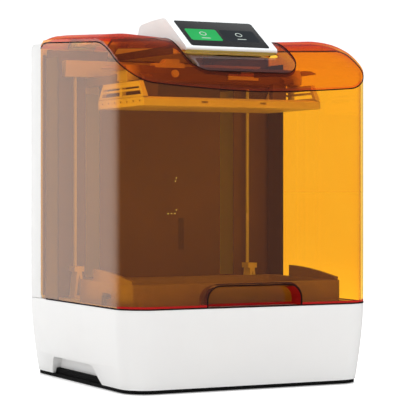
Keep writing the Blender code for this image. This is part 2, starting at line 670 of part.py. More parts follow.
def build_plate():
    """The printing face with a step in its front edge and two slots."""
    outline = [(PLATE_FRONT_Y, PLATE_LOW), (PLATE_REAR_Y, PLATE_LOW), (PLATE_REAR_Y, PLATE_TOP),
               (PLATE_FRONT_Y + 0.004, PLATE_TOP), (PLATE_FRONT_Y, 0.3126)]
    plate = prism("build_plate", outline, "X", -PLATE_HALF_X, PLATE_HALF_X, anodised_metal())
    for side in (-1, 1):
        x = side * 0.036
        cut(plate, guide(block, "slot", (x - 0.004, x + 0.004), (PLATE_FRONT_Y - 0.004, PLATE_FRONT_Y + 0.006),
                         (0.3090, 0.3106)))
        for hole in range(4):
            y = PLATE_FRONT_Y + 0.0112 + 0.0166 * hole
            notch = [(y - 0.0022, 0.3110), (y, 0.3086), (y + 0.0022, 0.3110)]
            cut(plate, guide(prism, "side_hole", notch, "X", *sorted((side * 0.1065, side * 0.112))))
    return plate


def truss_side(name, side):
    """A trapezoid frame along the plate's edge: two rows of windows, a narrow one above a taller one."""
    front, rear = PLATE_FRONT_Y + 0.0005, PLATE_REAR_Y
    outline = [(front, PLATE_TOP + GAP), (rear, PLATE_TOP + GAP), (rear - 0.0130, TRUSS_TOP), (front + 0.0130, TRUSS_TOP)]
    frame = prism(name, outline, "X", *sorted((side * TRUSS_INNER_X, side * TRUSS_OUTER_X)), anodised_metal())
    middle = (front + rear) / 2
    for low, high in ((0.3173, 0.3218), (0.3240, 0.3262)):
        near, far = front + 0.006 + (low - PLATE_TOP) * 0.7, rear - 0.006 - (low - PLATE_TOP) * 0.7
        lean = (high - low) * 0.7
        for window in ([(near, low), (middle - 0.003, low), (middle - 0.003, high), (near + lean, high)],
                       [(middle + 0.003, low), (far, low), (far - lean, high), (middle + 0.003, high)]):
            cut(frame, guide(prism, "window", window, "X", *sorted((side * 0.100, side * 0.112))))
    return frame


def release_lever(name, side):
    """A pointed grip at each end of the cross bar, turning up about a pin that runs front to back."""
    heel = LEVER_HEEL * math.sqrt(0.5)
    profile = [(-LEVER_HEEL, 0.0), (-heel, -heel), (0.0, -LEVER_HEEL), (0.0165, -0.0005), (0.0165, 0.0005),
               (0.0090, LEVER_HEEL), (0.0, LEVER_HEEL), (-heel, heel)]
    outline = [(side * (LEVER_X + out), LEVER_Z + up) for out, up in profile]
    lever = prism(name, outline, "Y", LEVER_FRONT_Y, LEVER_REAR_Y, anodised_metal())
    carry(joint_empty(name + "_axis", side * LEVER_X, (LEVER_FRONT_Y + LEVER_REAR_Y) / 2, LEVER_Z), lever)
    return lever


# ---- head ---------------------------------------------------------------------------------------------------
def head_outline():
    """Side view of the head: sloping screen face, flat crown, then a lower neck that runs back over the housing."""
    return [(-0.0805, 0.3650), (-0.0830, 0.3680), (-0.0820, 0.3705), (-0.0345, 0.4022), (-0.0310, 0.4045),
            (-0.0250, 0.4055), (0.0000, 0.4050), (0.0330, 0.4025), (0.0380, 0.4005), (0.0420, 0.3915),
            (0.1380, 0.3895), (0.1430, 0.3870), (0.1438, 0.3840), (0.1438, 0.3731), (0.1000, 0.3731),
            (0.0985, 0.3660), (-0.0500, 0.3640)]


def head_housing():
    head = prism("head_housing", head_outline(), "X", -HEAD_HALF, HEAD_HALF, white_plastic())
    hollow = [(-0.0560, 0.3600), (-0.0560, 0.3760), (-0.0280, 0.3960), (0.0340, 0.3960), (0.0400, 0.3860),
              (0.0950, 0.3860), (0.0950, 0.3600)]
    cut(head, guide(prism, "head_hollow", hollow, "X", -HEAD_HALF + 0.003, HEAD_HALF - 0.003))
    recess = guide(screen_slab, "screen_recess", 0.0004, -0.0024, 0.004)
    return cut(head, recess)


def screen_slab(name, margin, low, high, look=None):
    """A slab that lies on the head's sloping face; low and high are measured along the face's normal."""
    along = Vector((0, math.cos(SCREEN_SLOPE), math.sin(SCREEN_SLOPE)))
    normal = Vector((0, -math.sin(SCREEN_SLOPE), math.cos(SCREEN_SLOPE)))
    foot_point = Vector((0, -0.0805, 0.3715))
    half = SCREEN_WIDE / 2 + margin
    rings = []
    for level in (low, high):
        outline = rounded_rectangle(-half, half, -margin, SCREEN_LONG + margin, 0.003 + margin, 3)
        rings.append([foot_point + Vector((a, 0, 0)) + along * b + normal * level for a, b in outline])
    return loft(name, rings, look)


def touch_screen():
    return screen_slab("touch_screen", 0.0, -0.0020, 0.0003, dark_glass())


# ---- cover --------------------------------------------------------------------------------------------------
def roof_height(x, y):
    """Outer surface of the roof: it climbs from the front wall in a quarter wave and is crowned across X."""
    back = y - FRONT_Y
    side = min(1.0, abs(x) / HALF_WIDTH)
    start = 0.323 + 0.006 * min(1.0, abs(x) / 0.1168) ** 1.6
    climb = 0.048 + 0.0074 * (1.0 - side ** 12)
    run = min(1.0, max(0.0, back / ROOF_RUN))
    wave = math.sin(0.5 * math.pi * run ** (0.923 + 0.048 * side ** 2))
    height = start + climb * wave + 0.066 * max(0.0, back - ROOF_RUN)
    return min(height, 0.393 - 0.62 * (back - 0.222))


def wall_distance(x, y):
    """Distance inside the cover's outer plan outline."""
    dx = abs(x) - (HALF_WIDTH - CORNER_RADIUS)
    dy = (FRONT_Y + CORNER_RADIUS) - y
    if dx > 0 and dy > 0:
        return CORNER_RADIUS - math.hypot(dx, dy)
    return min(HALF_WIDTH - abs(x), y - FRONT_Y)


def roof_thickness(x, y):
    """Vertical thickness: the wall thickness seen along Z, thinner towards the outer edge."""
    step = 0.001
    slope_x = (roof_height(x + step, y) - roof_height(x - step, y)) / (2 * step)
    slope_y = (roof_height(x, y + step) - roof_height(x, y - step)) / (2 * step)
    steep = math.sqrt(1.0 + slope_x ** 2 + slope_y ** 2)
    return min(ROOF_THICK * steep, ROOF_THICK + 0.25 * max(0.0, wall_distance(x, y)))


def roof_columns():
    """Stations across X, closer together near the sides where the crown turns down."""
    return [HALF_WIDTH * 1.01 * math.sin(math.pi / 2 * i / 9) for i in range(-9, 10)]


def roof_rows():
    """Stations along Y, closer together where the roof turns over the front."""
    front = [FRONT_Y - 0.001 + 0.112 * (i / 11) ** 1.4 for i in range(12)]
    return front + [0.030, 0.086, COVER_REAR_Y]


def roof_slab(name, drop, top=None, look=None):
    """Solid between the roof's underside, lowered by drop, and its outer surface or a flat top."""
    columns, rows = roof_columns(), roof_rows()
    if top:
        rows = rows + [COVER_REAR_Y + 0.004]
    points = []
    for upper in (False, True):
        for y in rows:
            for x in columns:
                z = roof_height(x, min(y, COVER_REAR_Y))
                if not upper:
                    z -= roof_thickness(x, min(y, COVER_REAR_Y)) + drop
                points.append((x, y, top if upper and top else z))
    across, deep = len(columns), len(rows)
    layer = across * deep
    faces = []
    for j in range(deep - 1):
        for i in range(across - 1):
            a = j * across + i
            faces.append((a, a + 1, a + across + 1, a + across))
            faces.append((layer + a, layer + a + across, layer + a + across + 1, layer + a + 1))
    rim = [i for i in range(across)] + [j * across + across - 1 for j in range(1, deep)]
    rim += [(deep - 1) * across + i for i in range(across - 2, -1, -1)]
    rim += [j * across for j in range(deep - 2, 0, -1)]
    for i, a in enumerate(rim):
        b = rim[(i + 1) % len(rim)]
        faces.append((a, b, layer + b, layer + a))
    return solid(name, points, faces, look, 40)


def cover_plan(inward, rear_y):
    """Plan of the cover: round front corners, square rear ends."""
    half, front = HALF_WIDTH - inward, FRONT_Y + inward
    radius = CORNER_RADIUS - inward
    outline = [(half, rear_y), (-half, rear_y)]
    for centre_x, start in ((-half + radius, 180), (half - radius, 270)):
        for i in range(9):
            angle = math.radians(start + 90 * i / 8)
            outline.append((centre_x + radius * math.cos(angle), front + radius + radius * math.sin(angle)))
    return outline


POCKET_HALF, POCKET_DEPTH = 0.0575, 0.018
POCKET_TOP, POCKET_DRAFT = 0.1130, 0.003


def pocket_outline(grow):
    """The finger pocket seen from the front: flat top, round upper corners, open below."""
    half, top, radius = POCKET_HALF + grow, POCKET_TOP + grow, 0.016 + grow
    outline = [(half, COVER_LOW - 0.003), (half, top - radius)]
    for centre_x, start in ((half - radius, 0), (-half + radius, 90)):
        for i in range(6):
            angle = math.radians(start + 18 * i)
            outline.append((centre_x + radius * math.cos(angle), top - radius + radius * math.sin(angle)))
    return outline + [(-half, COVER_LOW - 0.003)]


def cover_shell():
    shell = prism("cover_shell", cover_plan(0.0, COVER_REAR_Y), "Z", COVER_LOW, 0.400, amber_plastic(), 40)
    cut(shell, guide(prism, "cover_hollow", cover_plan(COVER_WALL, COVER_REAR_Y + 0.010), "Z", 0.080, 0.410))
    back = FRONT_Y + POCKET_DEPTH
    lining = guide(loft, "pocket_lining", [placed(pocket_outline(0.0025), "Y", FRONT_Y + 0.001),
                                           placed(pocket_outline(0.0025 - POCKET_DRAFT), "Y", back + 0.0025)])
    cut(lining, guide(block, "lining_trim", (-0.080, 0.080), (-0.150, -0.100), (0.070, COVER_LOW)))
    fuse(shell, lining)
    cut(shell, guide(loft, "pocket", [placed(pocket_outline(0.0), "Y", FRONT_Y - 0.005),
                                      placed(pocket_outline(0.0), "Y", FRONT_Y),
                                      placed(pocket_outline(-POCKET_DRAFT), "Y", back)]))
    return cut(shell, guide(roof_slab, "above_walls", GAP, 0.420))


def scoop_plan(half, front, radius):
    """U-shaped outline open to the rear, listed from the right rear round the front to the left rear."""
    outline = [(half, COVER_REAR_Y), (half, 0.040), (half, -0.020), (half, -0.050)]
    for centre_x, start in ((half - radius, 0), (-half + radius, -90)):
        for i in range(6):
            angle = math.radians(start - 18 * i)
            outline.append((centre_x + radius * math.cos(angle), front + radius + radius * math.sin(angle)))
    return outline + [(-half, -0.050), (-half, -0.020), (-half, 0.040), (-half, COVER_REAR_Y)]


def cover_visor():
    visor = roof_slab("cover_visor", 0.0, None, amber_plastic())
    combine(visor, guide(prism, "visor_plan", cover_plan(0.0, COVER_REAR_Y + 0.001), "Z", 0.300, 0.420), "INTERSECT")
    opening = scoop_plan(SCOOP_OUTER_HALF, SCOOP_FRONT_Y, 0.022)
    opening[0] = (SCOOP_OUTER_HALF, COVER_REAR_Y + 0.004)
    opening[-1] = (-SCOOP_OUTER_HALF, COVER_REAR_Y + 0.004)
    cut(visor, guide(prism, "scoop_opening", opening, "Z", 0.300, 0.420))
    for side in (-1, 1):
        cut(visor, guide(block, "barrel_notch", sorted((side * 0.0835, side * 0.1165)), (0.0920, 0.1100),
                         (0.360, 0.400)))
    return visor


def cover_scoop():
    """A band that dips from the roof's opening down towards the head."""
    outer = scoop_plan(SCOOP_OUTER_HALF - GAP, SCOOP_FRONT_Y + GAP, 0.022)
    inner = scoop_plan(SCOOP_INNER_HALF, SCOOP_BACK_Y, 0.010)
    shares = (0.0, 0.35, 1.0)
    rows = []
    for a, b in zip(outer, inner):
        row = []
        for share in shares:
            x, y = (1 - share) * a[0] + share * b[0], (1 - share) * a[1] + share * b[1]
            row.append((x, y, roof_height(x, y) - SCOOP_DEPTH * math.sin(share * math.pi / 2)))
        under = [(x, y, z - 0.0022) for x, y, z in reversed(row)]
        rows.append(row + under)
    return loft("cover_scoop", rows, amber_plastic(), 40)


def hinge_arm(name, side):
    """Barrel round the pin with a plate and a raised pad that carries the roof."""
    reach = sorted((side * 0.0904, side * 0.1096))
    arm = prism(name, circle((HINGE_Y, HINGE_Z), 0.005, 16), "X", *reach, steel(), 40)
    fuse(arm, guide(block, "arm_plate", reach, (0.060, 0.1040), (0.3800, 0.3836)))
    pad_top = roof_height(reach[0] if side > 0 else reach[1], 0.062) - ROOF_THICK - 3 * GAP
    fuse(arm, guide(block, "arm_pad", reach, (0.062, 0.0800), (0.3830, pad_top)))
    return cut(arm, guide(prism, "pin_bore", circle((HINGE_Y, HINGE_Z), 0.0026, 16), "X",
                          *sorted((side * 0.080, side * 0.120))))


def hinge_bracket(name, side):
    """Foot in the housing's notch with two ears that hold the pin."""
    bracket = block(name, sorted((side * 0.0840, side * 0.1160)), (0.1063, 0.1140), (0.3763, 0.3786), steel())
    for near in (0.0845, 0.1101):
        reach = sorted((side * near, side * (near + 0.0054)))
        fuse(bracket, guide(prism, "ear", circle((HINGE_Y, HINGE_Z), 0.0048, 16), "X", *reach))
        fuse(bracket, guide(block, "ear_foot", reach, (0.1063, 0.1120), (0.3765, 0.3860)))
    return cut(bracket, guide(prism, "pin_seat", circle((HINGE_Y, HINGE_Z), 0.0026, 16), "X",
                              *sorted((side * 0.080, side * 0.120))))


def hinge_pin(name, side):
    return prism(name, circle((HINGE_Y, HINGE_Z), 0.0022, 16), "X", *sorted((side * 0.0835, side * 0.1165)), steel(),
                 40)


# ---- assembly -----------------------------------------------------------------------------------------------
def build_root():
    base_shell()
    base_plate()
    for word, side in (("left", -1), ("right", 1)):
        foot("foot_front_" + word, side * FOOT_X, FRONT_Y + FOOT_INSET)
        foot("foot_rear_" + word, side * FOOT_X, REAR_Y - FOOT_INSET)
    chassis_deck()
    light_source()
    heat_sink()
    mainboard()
    power_supply()
    usb_port()
    power_inlet()
    power_rocker()
    cooling_fan()
    rear_housing()
    rear_liner()
    z_motor()
    screw_bearing()
    top_beam()
    head_housing()
    touch_screen()
    for word, side in (("left", -1), ("right", 1)):
        linear_rail("linear_rail_" + word, side)
        stay_rod("stay_rod_" + word, side)
        stay_foot("stay_foot_" + word, side)
        hinge_bracket("hinge_bracket_" + word, side)
        hinge_pin("hinge_pin_" + word, side)


def build_cover():
    pivot = joint_empty("cover_axis", 0, HINGE_Y, HINGE_Z)
    carry(pivot, cover_shell(), cover_visor(), cover_scoop())
    for word, side in (("left", -1), ("right", 1)):
        carry(pivot, hinge_arm("hinge_arm_" + word, side))


def build_platform():
    lead_screw()
    pivot = joint_empty("platform_slide_axis", 0, SCREW_Y, PLATE_LOW)
    carry(pivot, screw_nut(), carriage_beam(), platform_frame(), build_plate())
    for word, side in (("left", -1), ("right", 1)):
        carry(pivot, rail_block("rail_block_" + word, side), truss_side("plate_truss_" + word, side))
        release_lever("release_lever_" + word, side)


def build_tilting_bed():
    pivot_pin()
    tilt_cam()
    tilt_motor()
    pivot = joint_empty("tilt_axis", PIVOT_X, 0, PIVOT_Z)
    carry(pivot, tilt_bed(), lcd_panel(), release_film(), vat_tub())
    for word, side in (("left", -1), ("right", 1)):
        vat_clamp("vat_clamp_" + word, side)


clear_scene()
build_root()
build_cover()
build_platform()
build_tilting_bed()
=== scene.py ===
"""Resin printer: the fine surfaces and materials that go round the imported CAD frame.

Metres, +Z up, front faces -Y. Sizes are read from the CAD boxes where the CAD holds them.
"""
import json
import math

import bmesh
import bpy
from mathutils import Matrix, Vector

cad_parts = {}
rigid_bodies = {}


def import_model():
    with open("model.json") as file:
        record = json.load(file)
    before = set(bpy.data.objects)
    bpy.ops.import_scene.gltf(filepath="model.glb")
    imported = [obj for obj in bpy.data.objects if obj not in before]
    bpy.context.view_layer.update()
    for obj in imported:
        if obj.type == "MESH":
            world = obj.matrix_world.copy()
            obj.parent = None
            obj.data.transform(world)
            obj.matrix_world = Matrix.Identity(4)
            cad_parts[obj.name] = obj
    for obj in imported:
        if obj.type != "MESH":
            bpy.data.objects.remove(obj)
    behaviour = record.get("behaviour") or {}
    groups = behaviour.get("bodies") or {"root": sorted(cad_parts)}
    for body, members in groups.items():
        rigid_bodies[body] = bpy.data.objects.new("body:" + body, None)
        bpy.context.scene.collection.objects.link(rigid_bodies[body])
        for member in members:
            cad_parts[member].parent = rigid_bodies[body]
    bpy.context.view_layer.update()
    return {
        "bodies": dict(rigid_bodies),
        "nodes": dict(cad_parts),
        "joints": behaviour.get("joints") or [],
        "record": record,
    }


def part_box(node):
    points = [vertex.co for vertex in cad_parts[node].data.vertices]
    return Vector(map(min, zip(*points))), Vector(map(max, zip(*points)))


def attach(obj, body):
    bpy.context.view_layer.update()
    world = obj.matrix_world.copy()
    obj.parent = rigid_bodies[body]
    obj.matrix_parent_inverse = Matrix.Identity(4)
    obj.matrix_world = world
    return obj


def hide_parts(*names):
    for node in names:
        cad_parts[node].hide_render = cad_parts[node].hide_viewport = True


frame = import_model()

# ---- driving dimensions ----
BASE_LOW, BASE_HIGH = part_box("base_shell")
SHELL_LOW, SHELL_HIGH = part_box("cover_shell")
HOUSING_LOW, HOUSING_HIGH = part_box("rear_housing")
HEAD_LOW, HEAD_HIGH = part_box("head_housing")
VAT_LOW, VAT_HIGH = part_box("vat_tub")
PLATE_LOW, PLATE_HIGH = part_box("build_plate")
LINER_FACE_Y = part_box("rear_liner")[1].y - 0.002
SCREW_Y = sum(corner.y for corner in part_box("lead_screw")) / 2
SCREW_HOLE = 0.0075

HALF_WIDTH, FRONT_Y, REAR_Y = BASE_HIGH.x, BASE_LOW.y, BASE_HIGH.y
CORNER_RADIUS, REAR_RADIUS = 0.0336, 0.010
WALL = 0.003
GAP = 0.0003
BASE_TAPER, BASE_TOP_ROUND, CORNER_LOSS = 0.008, 0.0016, 0.6
# Size of the black sheet under the base, a painted shadow.
SHADOW_TRAY_INSET, SHADOW_TRAY_TOP = 0.0042, 0.0108
NOTCH_NEAR, NOTCH_FAR = 0.0835, 0.1165
COVER_SCREW_X, SCREW_SINK = 0.132, 0.0018
COVER_SCREW_HEIGHTS = (("low", 0.112), ("high", 0.345))
HEAD_DARK_TOP, HEAD_DARK_FRONT = 0.3735, -0.055

ROOF_RUN = 0.0893
ROOF_THICK = 0.003
ROOF_BAND = (0.300, 0.420)
SCOOP_OUTER_HALF, SCOOP_INNER_HALF = 0.068, 0.0597
SCOOP_FRONT_Y, SCOOP_BACK_Y = FRONT_Y + 0.016, FRONT_Y + 0.0495
SCOOP_DEPTH, OPENING_RADIUS = 0.008, 0.022

SCREEN_SLOPE = math.radians(33.7)
SCREEN_FOOT = Vector((0.0, -0.0845, 0.3715))
SCREEN_LONG, SCREEN_WIDE = 0.0556, 0.0966
REAR_FOOT, RIM_HEIGHT = 0.008, 0.0026
POCKET_HALF, POCKET_TOP, POCKET_DEPTH, POCKET_DRAFT = 0.0575, 0.1130, 0.018, 0.003
POCKET_LINING = 0.0025
AMBER, RIM, EDGE = 0, 1, 2
UP = Vector((0, 0, 1))
WORLD_LIGHT, CAMERA_EXTRA = 0.88, 0.24


# ---- node helpers ----
class Nodes:
    """A short way to add and join shader nodes."""

    def __init__(self, tree):
        self.tree = tree

    def add(self, kind, inputs=None, **settings):
        """New shader node; kind is its type without the prefix that all of them share."""
        node = self.tree.nodes.new("ShaderNode" + kind)
        for key, value in settings.items():
            setattr(node, key, value)
        for key, value in (inputs or {}).items():
            self.feed(node.inputs[key], value)
        return node

    def feed(self, socket, value):
        if isinstance(value, bpy.types.NodeSocket):
            self.tree.links.new(value, socket)
        else:
            socket.default_value = value

    def math(self, operation, a, b=0.0, clamp=False):
        return self.add("Math", {0: a, 1: b}, operation=operation, use_clamp=clamp).outputs[0]

    def noise(self, scale, detail=3.0, stretch=(1.0, 1.0, 1.0)):
        place = self.add("TexCoord").outputs["Object"]
        mapped = self.add("Mapping", {"Vector": place, "Scale": stretch}).outputs[0]
        return self.add("TexNoise", {"Vector": mapped, "Scale": scale, "Detail": detail}).outputs[0]

    def spread(self, value, low, high):
        """Maps a noise value onto low to high."""
        return self.ramp(value, 0.3, 0.7, low, high)

    def blend(self, share, colour_a, colour_b):
        mixed = self.add("Mix", data_type="RGBA")
        self.feed(mixed.inputs[0], share)
        self.feed(mixed.inputs[6], colour_a)
        self.feed(mixed.inputs[7], colour_b)
        return mixed.outputs[2]

    def bump(self, height, strength, distance=0.0003):
        return self.add("Bump", {"Height": height, "Strength": strength, "Distance": distance}).outputs[0]

    def layered(self, share, under, over):
        """Shader that shows the second one by the given share."""
        return self.add("MixShader", {0: share, 1: under, 2: over}).outputs[0]

    def ramp(self, value, start, end, low=0.0, high=1.0):
        """Runs from low to high while the value runs from start to end."""
        return self.add("MapRange", {0: value, 1: start, 2: end, 3: low, 4: high}).outputs[0]


class Look(Nodes):
    """Nodes of a new, empty material."""

    def __init__(self, name):
        self.material = bpy.data.materials.new(name)
        self.material.use_nodes = True
        super().__init__(self.material.node_tree)
        self.tree.nodes.clear()
        self.out = self.add("OutputMaterial")

    def finished(self, shader):
        self.feed(self.out.inputs["Surface"], shader)
        return self.material


def rgba(colour):
    return (*colour, 1.0)


def moulded(name, colour, shade, roughness, metallic=0.0, grain=900.0, bump=0.15, stretch=(1.0, 1.0, 1.0),
            coat=0.0, wear=0.0):
    """Surface whose colour, roughness and fine relief vary with noise; wear lightens worn patches."""
    n = Look(name)
    broad = n.noise(26.0, 4.0)
    fine = n.noise(grain, 2.0, stretch)
    tone = n.blend(n.spread(broad, 0.0, 1.0), rgba(colour), rgba(shade))
    if wear:
        rub = n.spread(n.noise(140.0, 6.0, stretch), 0.0, wear)
        tone = n.blend(rub, tone, rgba([min(1.0, c * 1.6 + 0.02) for c in colour]))
    rough = n.spread(n.noise(60.0, 5.0, stretch), roughness - 0.05, roughness + 0.06)
    shader = n.add("BsdfPrincipled", {
        "Base Color": tone, "Roughness": rough, "Metallic": metallic, "Coat Weight": coat,
        "Coat Roughness": 0.15, "Normal": n.bump(fine, bump)})
    return n.finished(shader.outputs[0])


def dulled(material):
    """Takes most of the shine off a moulded look."""
    material.node_tree.nodes["Principled BSDF"].inputs["Specular IOR Level"].default_value = 0.1
    return material


def see_through(name, tint, reflect, grazing, haze=0.0, haze_colour=(0.8, 0.3, 0.02), cap=0.85,
                sheen=(0.98, 0.84, 0.80)):
    """Clear coloured plastic. One wall lets the tint through; it deepens where a wall is seen edge-on."""
    n = Look(name)
    ripple = n.bump(n.noise(9.0, 2.0), 0.04, 0.002)
    facing = n.add("LayerWeight", {"Blend": 0.5}).outputs["Facing"]
    depth = n.math("ADD", n.math("MULTIPLY", n.math("POWER", facing, 2.0), 0.25), 0.5)
    depth = n.math("ADD", depth, n.math("MULTIPLY", n.math("POWER", facing, 9.0), grazing))
    depth = n.math("MULTIPLY", depth, n.spread(n.noise(14.0, 2.0), 0.97, 1.03))
    seen = n.add("Gamma", {0: rgba(tint), 1: depth}).outputs[0]
    clear = n.add("BsdfTransparent", {"Color": seen}).outputs[0]
    fresnel = n.math("ADD", n.math("MULTIPLY", n.math("POWER", facing, 5.0), 0.96), 0.04)
    inside = n.add("NewGeometry").outputs["Backfacing"]
    strength = n.math("SUBTRACT", reflect, n.math("MULTIPLY", inside, reflect * 0.75))
    share = n.math("MULTIPLY", fresnel, strength)
    rough = n.spread(n.noise(220.0, 6.0), 0.02, 0.07)
    gloss = n.add("BsdfGlossy", {"Color": rgba(sheen), "Roughness": rough, "Normal": ripple})
    gloss = gloss.outputs[0]
    body = n.layered(n.math("MINIMUM", share, cap), clear, gloss)
    if haze:
        cloud = n.add("BsdfDiffuse", {"Color": rgba(haze_colour)}).outputs[0]
        body = n.layered(haze, body, cloud)
    return n.finished(body)


def glow(name, colour, strength, depth=0.25):
    """Lit display colour that fades slightly across its area."""
    n = Look(name)
    tone = n.blend(n.spread(n.noise(40.0, 2.0), 0.0, depth), rgba(colour), rgba([c * 0.6 for c in colour]))
    light = n.add("Emission", {"Color": tone, "Strength": strength}).outputs[0]
    gloss = n.add("BsdfGlossy", {"Roughness": 0.08}).outputs[0]
    return n.finished(n.layered(0.04, light, gloss))


def circuit_look():
    """Green board with lighter tracks made by a fine brick pattern."""
    n = Look("circuit_board_look")
    place = n.add("TexCoord").outputs["Object"]
    tracks = n.add("TexBrick", {"Vector": place, "Scale": 160.0, "Mortar Size": 0.03}).outputs["Fac"]
    tone = n.blend(tracks, rgba((0.02, 0.16, 0.06)), rgba((0.09, 0.34, 0.14)))
    shader = n.add("BsdfPrincipled", {
        "Base Color": tone, "Roughness": 0.35, "Normal": n.bump(tracks, 0.4)})
    return n.finished(shader.outputs[0])


def graded(material, axis, low, high, colour):
    """Turns a look towards a second colour between two distances from the origin along one axis."""
    n = Nodes(material.node_tree)
    base = n.tree.nodes["Principled BSDF"].inputs["Base Color"]
    place = n.add("NewGeometry").outputs["Position"]
    across = n.add("SeparateXYZ", {0: place}).outputs[axis]
    share = n.ramp(n.math("ABSOLUTE", across), low, high)
    n.feed(base, n.blend(share, base.links[0].from_socket, rgba(colour)))
    return material


WHITE = moulded("white_plastic_look", (0.79, 0.79, 0.78), (0.78, 0.78, 0.775), 0.38, grain=1400.0, bump=0.06)
# Painted light: the head's white is a brighter, bluer copy of the white plastic that cancels the amber light
# bouncing onto it.
HEAD_WHITE_LIT = moulded("head_plastic_lit_look", (0.84, 0.875, 0.885), (0.83, 0.865, 0.875), 0.38, grain=1400.0,
                     bump=0.06)
BLACK = moulded("black_plastic_look", (0.035, 0.035, 0.038), (0.055, 0.054, 0.055), 0.45, grain=1800.0,
                bump=0.30, wear=0.25)
# Painted shade: the liner turns near-black past 0.139 m from the middle, on its flanges beside the side
# walls.
LINER_SHADED_ENDS = graded(moulded("liner_shaded_ends_look", (0.125, 0.070, 0.10), (0.10, 0.058, 0.08), 0.50, grain=1500.0,
                       bump=0.25), "X", 0.139, 0.1445, (0.012, 0.008, 0.010))
# Painted shadow: near-black, dull look of the sheet under the base.
SHADOW_BLACK = dulled(moulded("shadow_tray_look", (0.004, 0.004, 0.004), (0.006, 0.006, 0.006), 0.85, grain=1800.0,
                              bump=0.2))
ALUMINIUM = moulded("anodised_metal_look", (0.78, 0.68, 0.66), (0.70, 0.61, 0.59), 0.38, 0.15, 2200.0, 0.18,
                    wear=0.2)
GUNMETAL = moulded("vat_metal_look", (0.22, 0.145, 0.15), (0.18, 0.12, 0.13), 0.34, 0.1, 2000.0, 0.10,
                   coat=0.15, wear=0.2)
# Painted shade: the platform arm is a dark copy of the anodised metal; past 0.092 to 0.106 m from the middle
# it turns back to a light tone.
ARM_METAL_SHADED = graded(moulded("platform_arm_shaded_look", (0.20, 0.12, 0.12), (0.15, 0.09, 0.09), 0.42, 0.15, 2200.0,
                           0.18), "X", 0.092, 0.106, (0.66, 0.56, 0.52))
# Painted shade: the release levers use a darker copy of the anodised metal.
GRIP_METAL_SHADED = moulded("release_grip_shaded_look", (0.42, 0.27, 0.24), (0.36, 0.23, 0.21), 0.40, 0.15, 2200.0, 0.18)
DARK_LINE = moulded("liner_slot_look", (0.060, 0.036, 0.075), (0.050, 0.030, 0.060), 0.5, grain=1500.0,
                    bump=0.2)
STEEL = moulded("steel_look", (0.78, 0.77, 0.76), (0.66, 0.66, 0.66), 0.30, 0.4, 500.0, 0.12,
                (1.0, 1.0, 0.04), wear=0.2)
RUBBER = moulded("rubber_look", (0.03, 0.03, 0.03), (0.05, 0.05, 0.05), 0.75, grain=2500.0, bump=0.5)
GLASS = moulded("dark_glass_look", (0.010, 0.012, 0.014), (0.015, 0.017, 0.019), 0.10, grain=60.0, bump=0.01,
                coat=1.0)
GOLD = moulded("gold_line_look", (0.83, 0.60, 0.17), (0.70, 0.47, 0.10), 0.30, 0.85, 1200.0, 0.08,
               (0.05, 1.0, 1.0))
BOARD = circuit_look()
AMBER_WALL = see_through("amber_wall_look", (0.995, 0.672, 0.100), 1.2, 0.0, 0.02, (0.9, 0.22, 0.10))
AMBER_VISOR = see_through("amber_visor_look", (0.92, 0.43, 0.045), 1.0, 4.0, 0.03, (0.9, 0.15, 0.06), 0.25)
# Painted reflection: the scoop's diffuse haze is lavender instead of amber, standing in for the reflection
# seen on it.
AMBER_SCOOP_SHEEN = see_through("amber_scoop_sheen_look", (0.66, 0.33, 0.16), 1.0, 14.0, 0.06, (0.30, 0.20, 0.24), 0.25)
AMBER_RIM = see_through("amber_rim_look", (0.62, 0.05, 0.04), 1.0, 2.0, 0.35, (0.75, 0.02, 0.02))
AMBER_EDGE = see_through("amber_edge_look", (0.16, 0.012, 0.006), 1.2, 2.0)
FILM = see_through("clear_film_look", (0.80, 0.82, 0.84), 1.4, 0.0)
# Near-black matt look for the dark seam and lip lines, and for the painted shadow in the groove between the
# cover and the base.
SEAM_AND_SHADOW = dulled(moulded("seam_and_shadow_look", (0.010, 0.003, 0.003), (0.016, 0.005, 0.004), 0.75, grain=700.0,
                      bump=0.05))
TILE_GREEN = glow("screen_green_look", (0.045, 0.58, 0.155), 0.9)
TILE_GREY = glow("screen_grey_look", (0.045, 0.052, 0.060), 0.8)
ICON_WHITE = glow("screen_icon_look", (0.75, 0.86, 0.80), 0.9)

SLOT_LOOKS = {
    "white_plastic": WHITE, "amber_plastic": AMBER_WALL, "black_plastic": BLACK, "anodised_metal": ALUMINIUM,
    "steel": STEEL, "rubber": RUBBER, "dark_glass": GLASS, "clear_film": FILM, "circuit_board": BOARD}


# ---- mesh helpers ----
def new_object(name, points, faces, looks, indices=None):
    mesh = bpy.data.meshes.new(name)
    mesh.from_pydata([tuple(p) for p in points], [], faces)
    for look in looks:
        mesh.materials.append(look)
    if indices:
        for face, index in zip(mesh.polygons, indices):
            face.material_index = index
    work = bmesh.new()
    work.from_mesh(mesh)
    bmesh.ops.recalc_face_normals(work, faces=work.faces)
    work.to_mesh(mesh)
    work.free()
    made = bpy.data.objects.new(name, mesh)
    bpy.context.scene.collection.objects.link(made)
    return made


def band(count, low, high):
    """Faces between the ring of points that starts at low and the one that starts at high."""
    return [(low + i, low + (i + 1) % count, high + (i + 1) % count, high + i) for i in range(count)]


def loft(name, rings, looks, index=0):
    """Closed body through rings with the same number of points, capped at both ends."""
    count = len(rings[0])
    last = (len(rings) - 1) * count
    faces = [tuple(range(count)), tuple(range(last, last + count))]
    for low in range(0, last, count):
        faces += band(count, low, low + count)
    return new_object(name, [p for ring in rings for p in ring], faces, looks, [index] * len(faces))


def hoop(name, rings, looks):
    """Closed band: the last ring joins the first one."""
    count, total = len(rings[0]), len(rings)
    faces = [face for level in range(total)
             for face in band(count, level * count, (level + 1) % total * count)]
    return new_object(name, [p for ring in rings for p in ring], faces, looks)


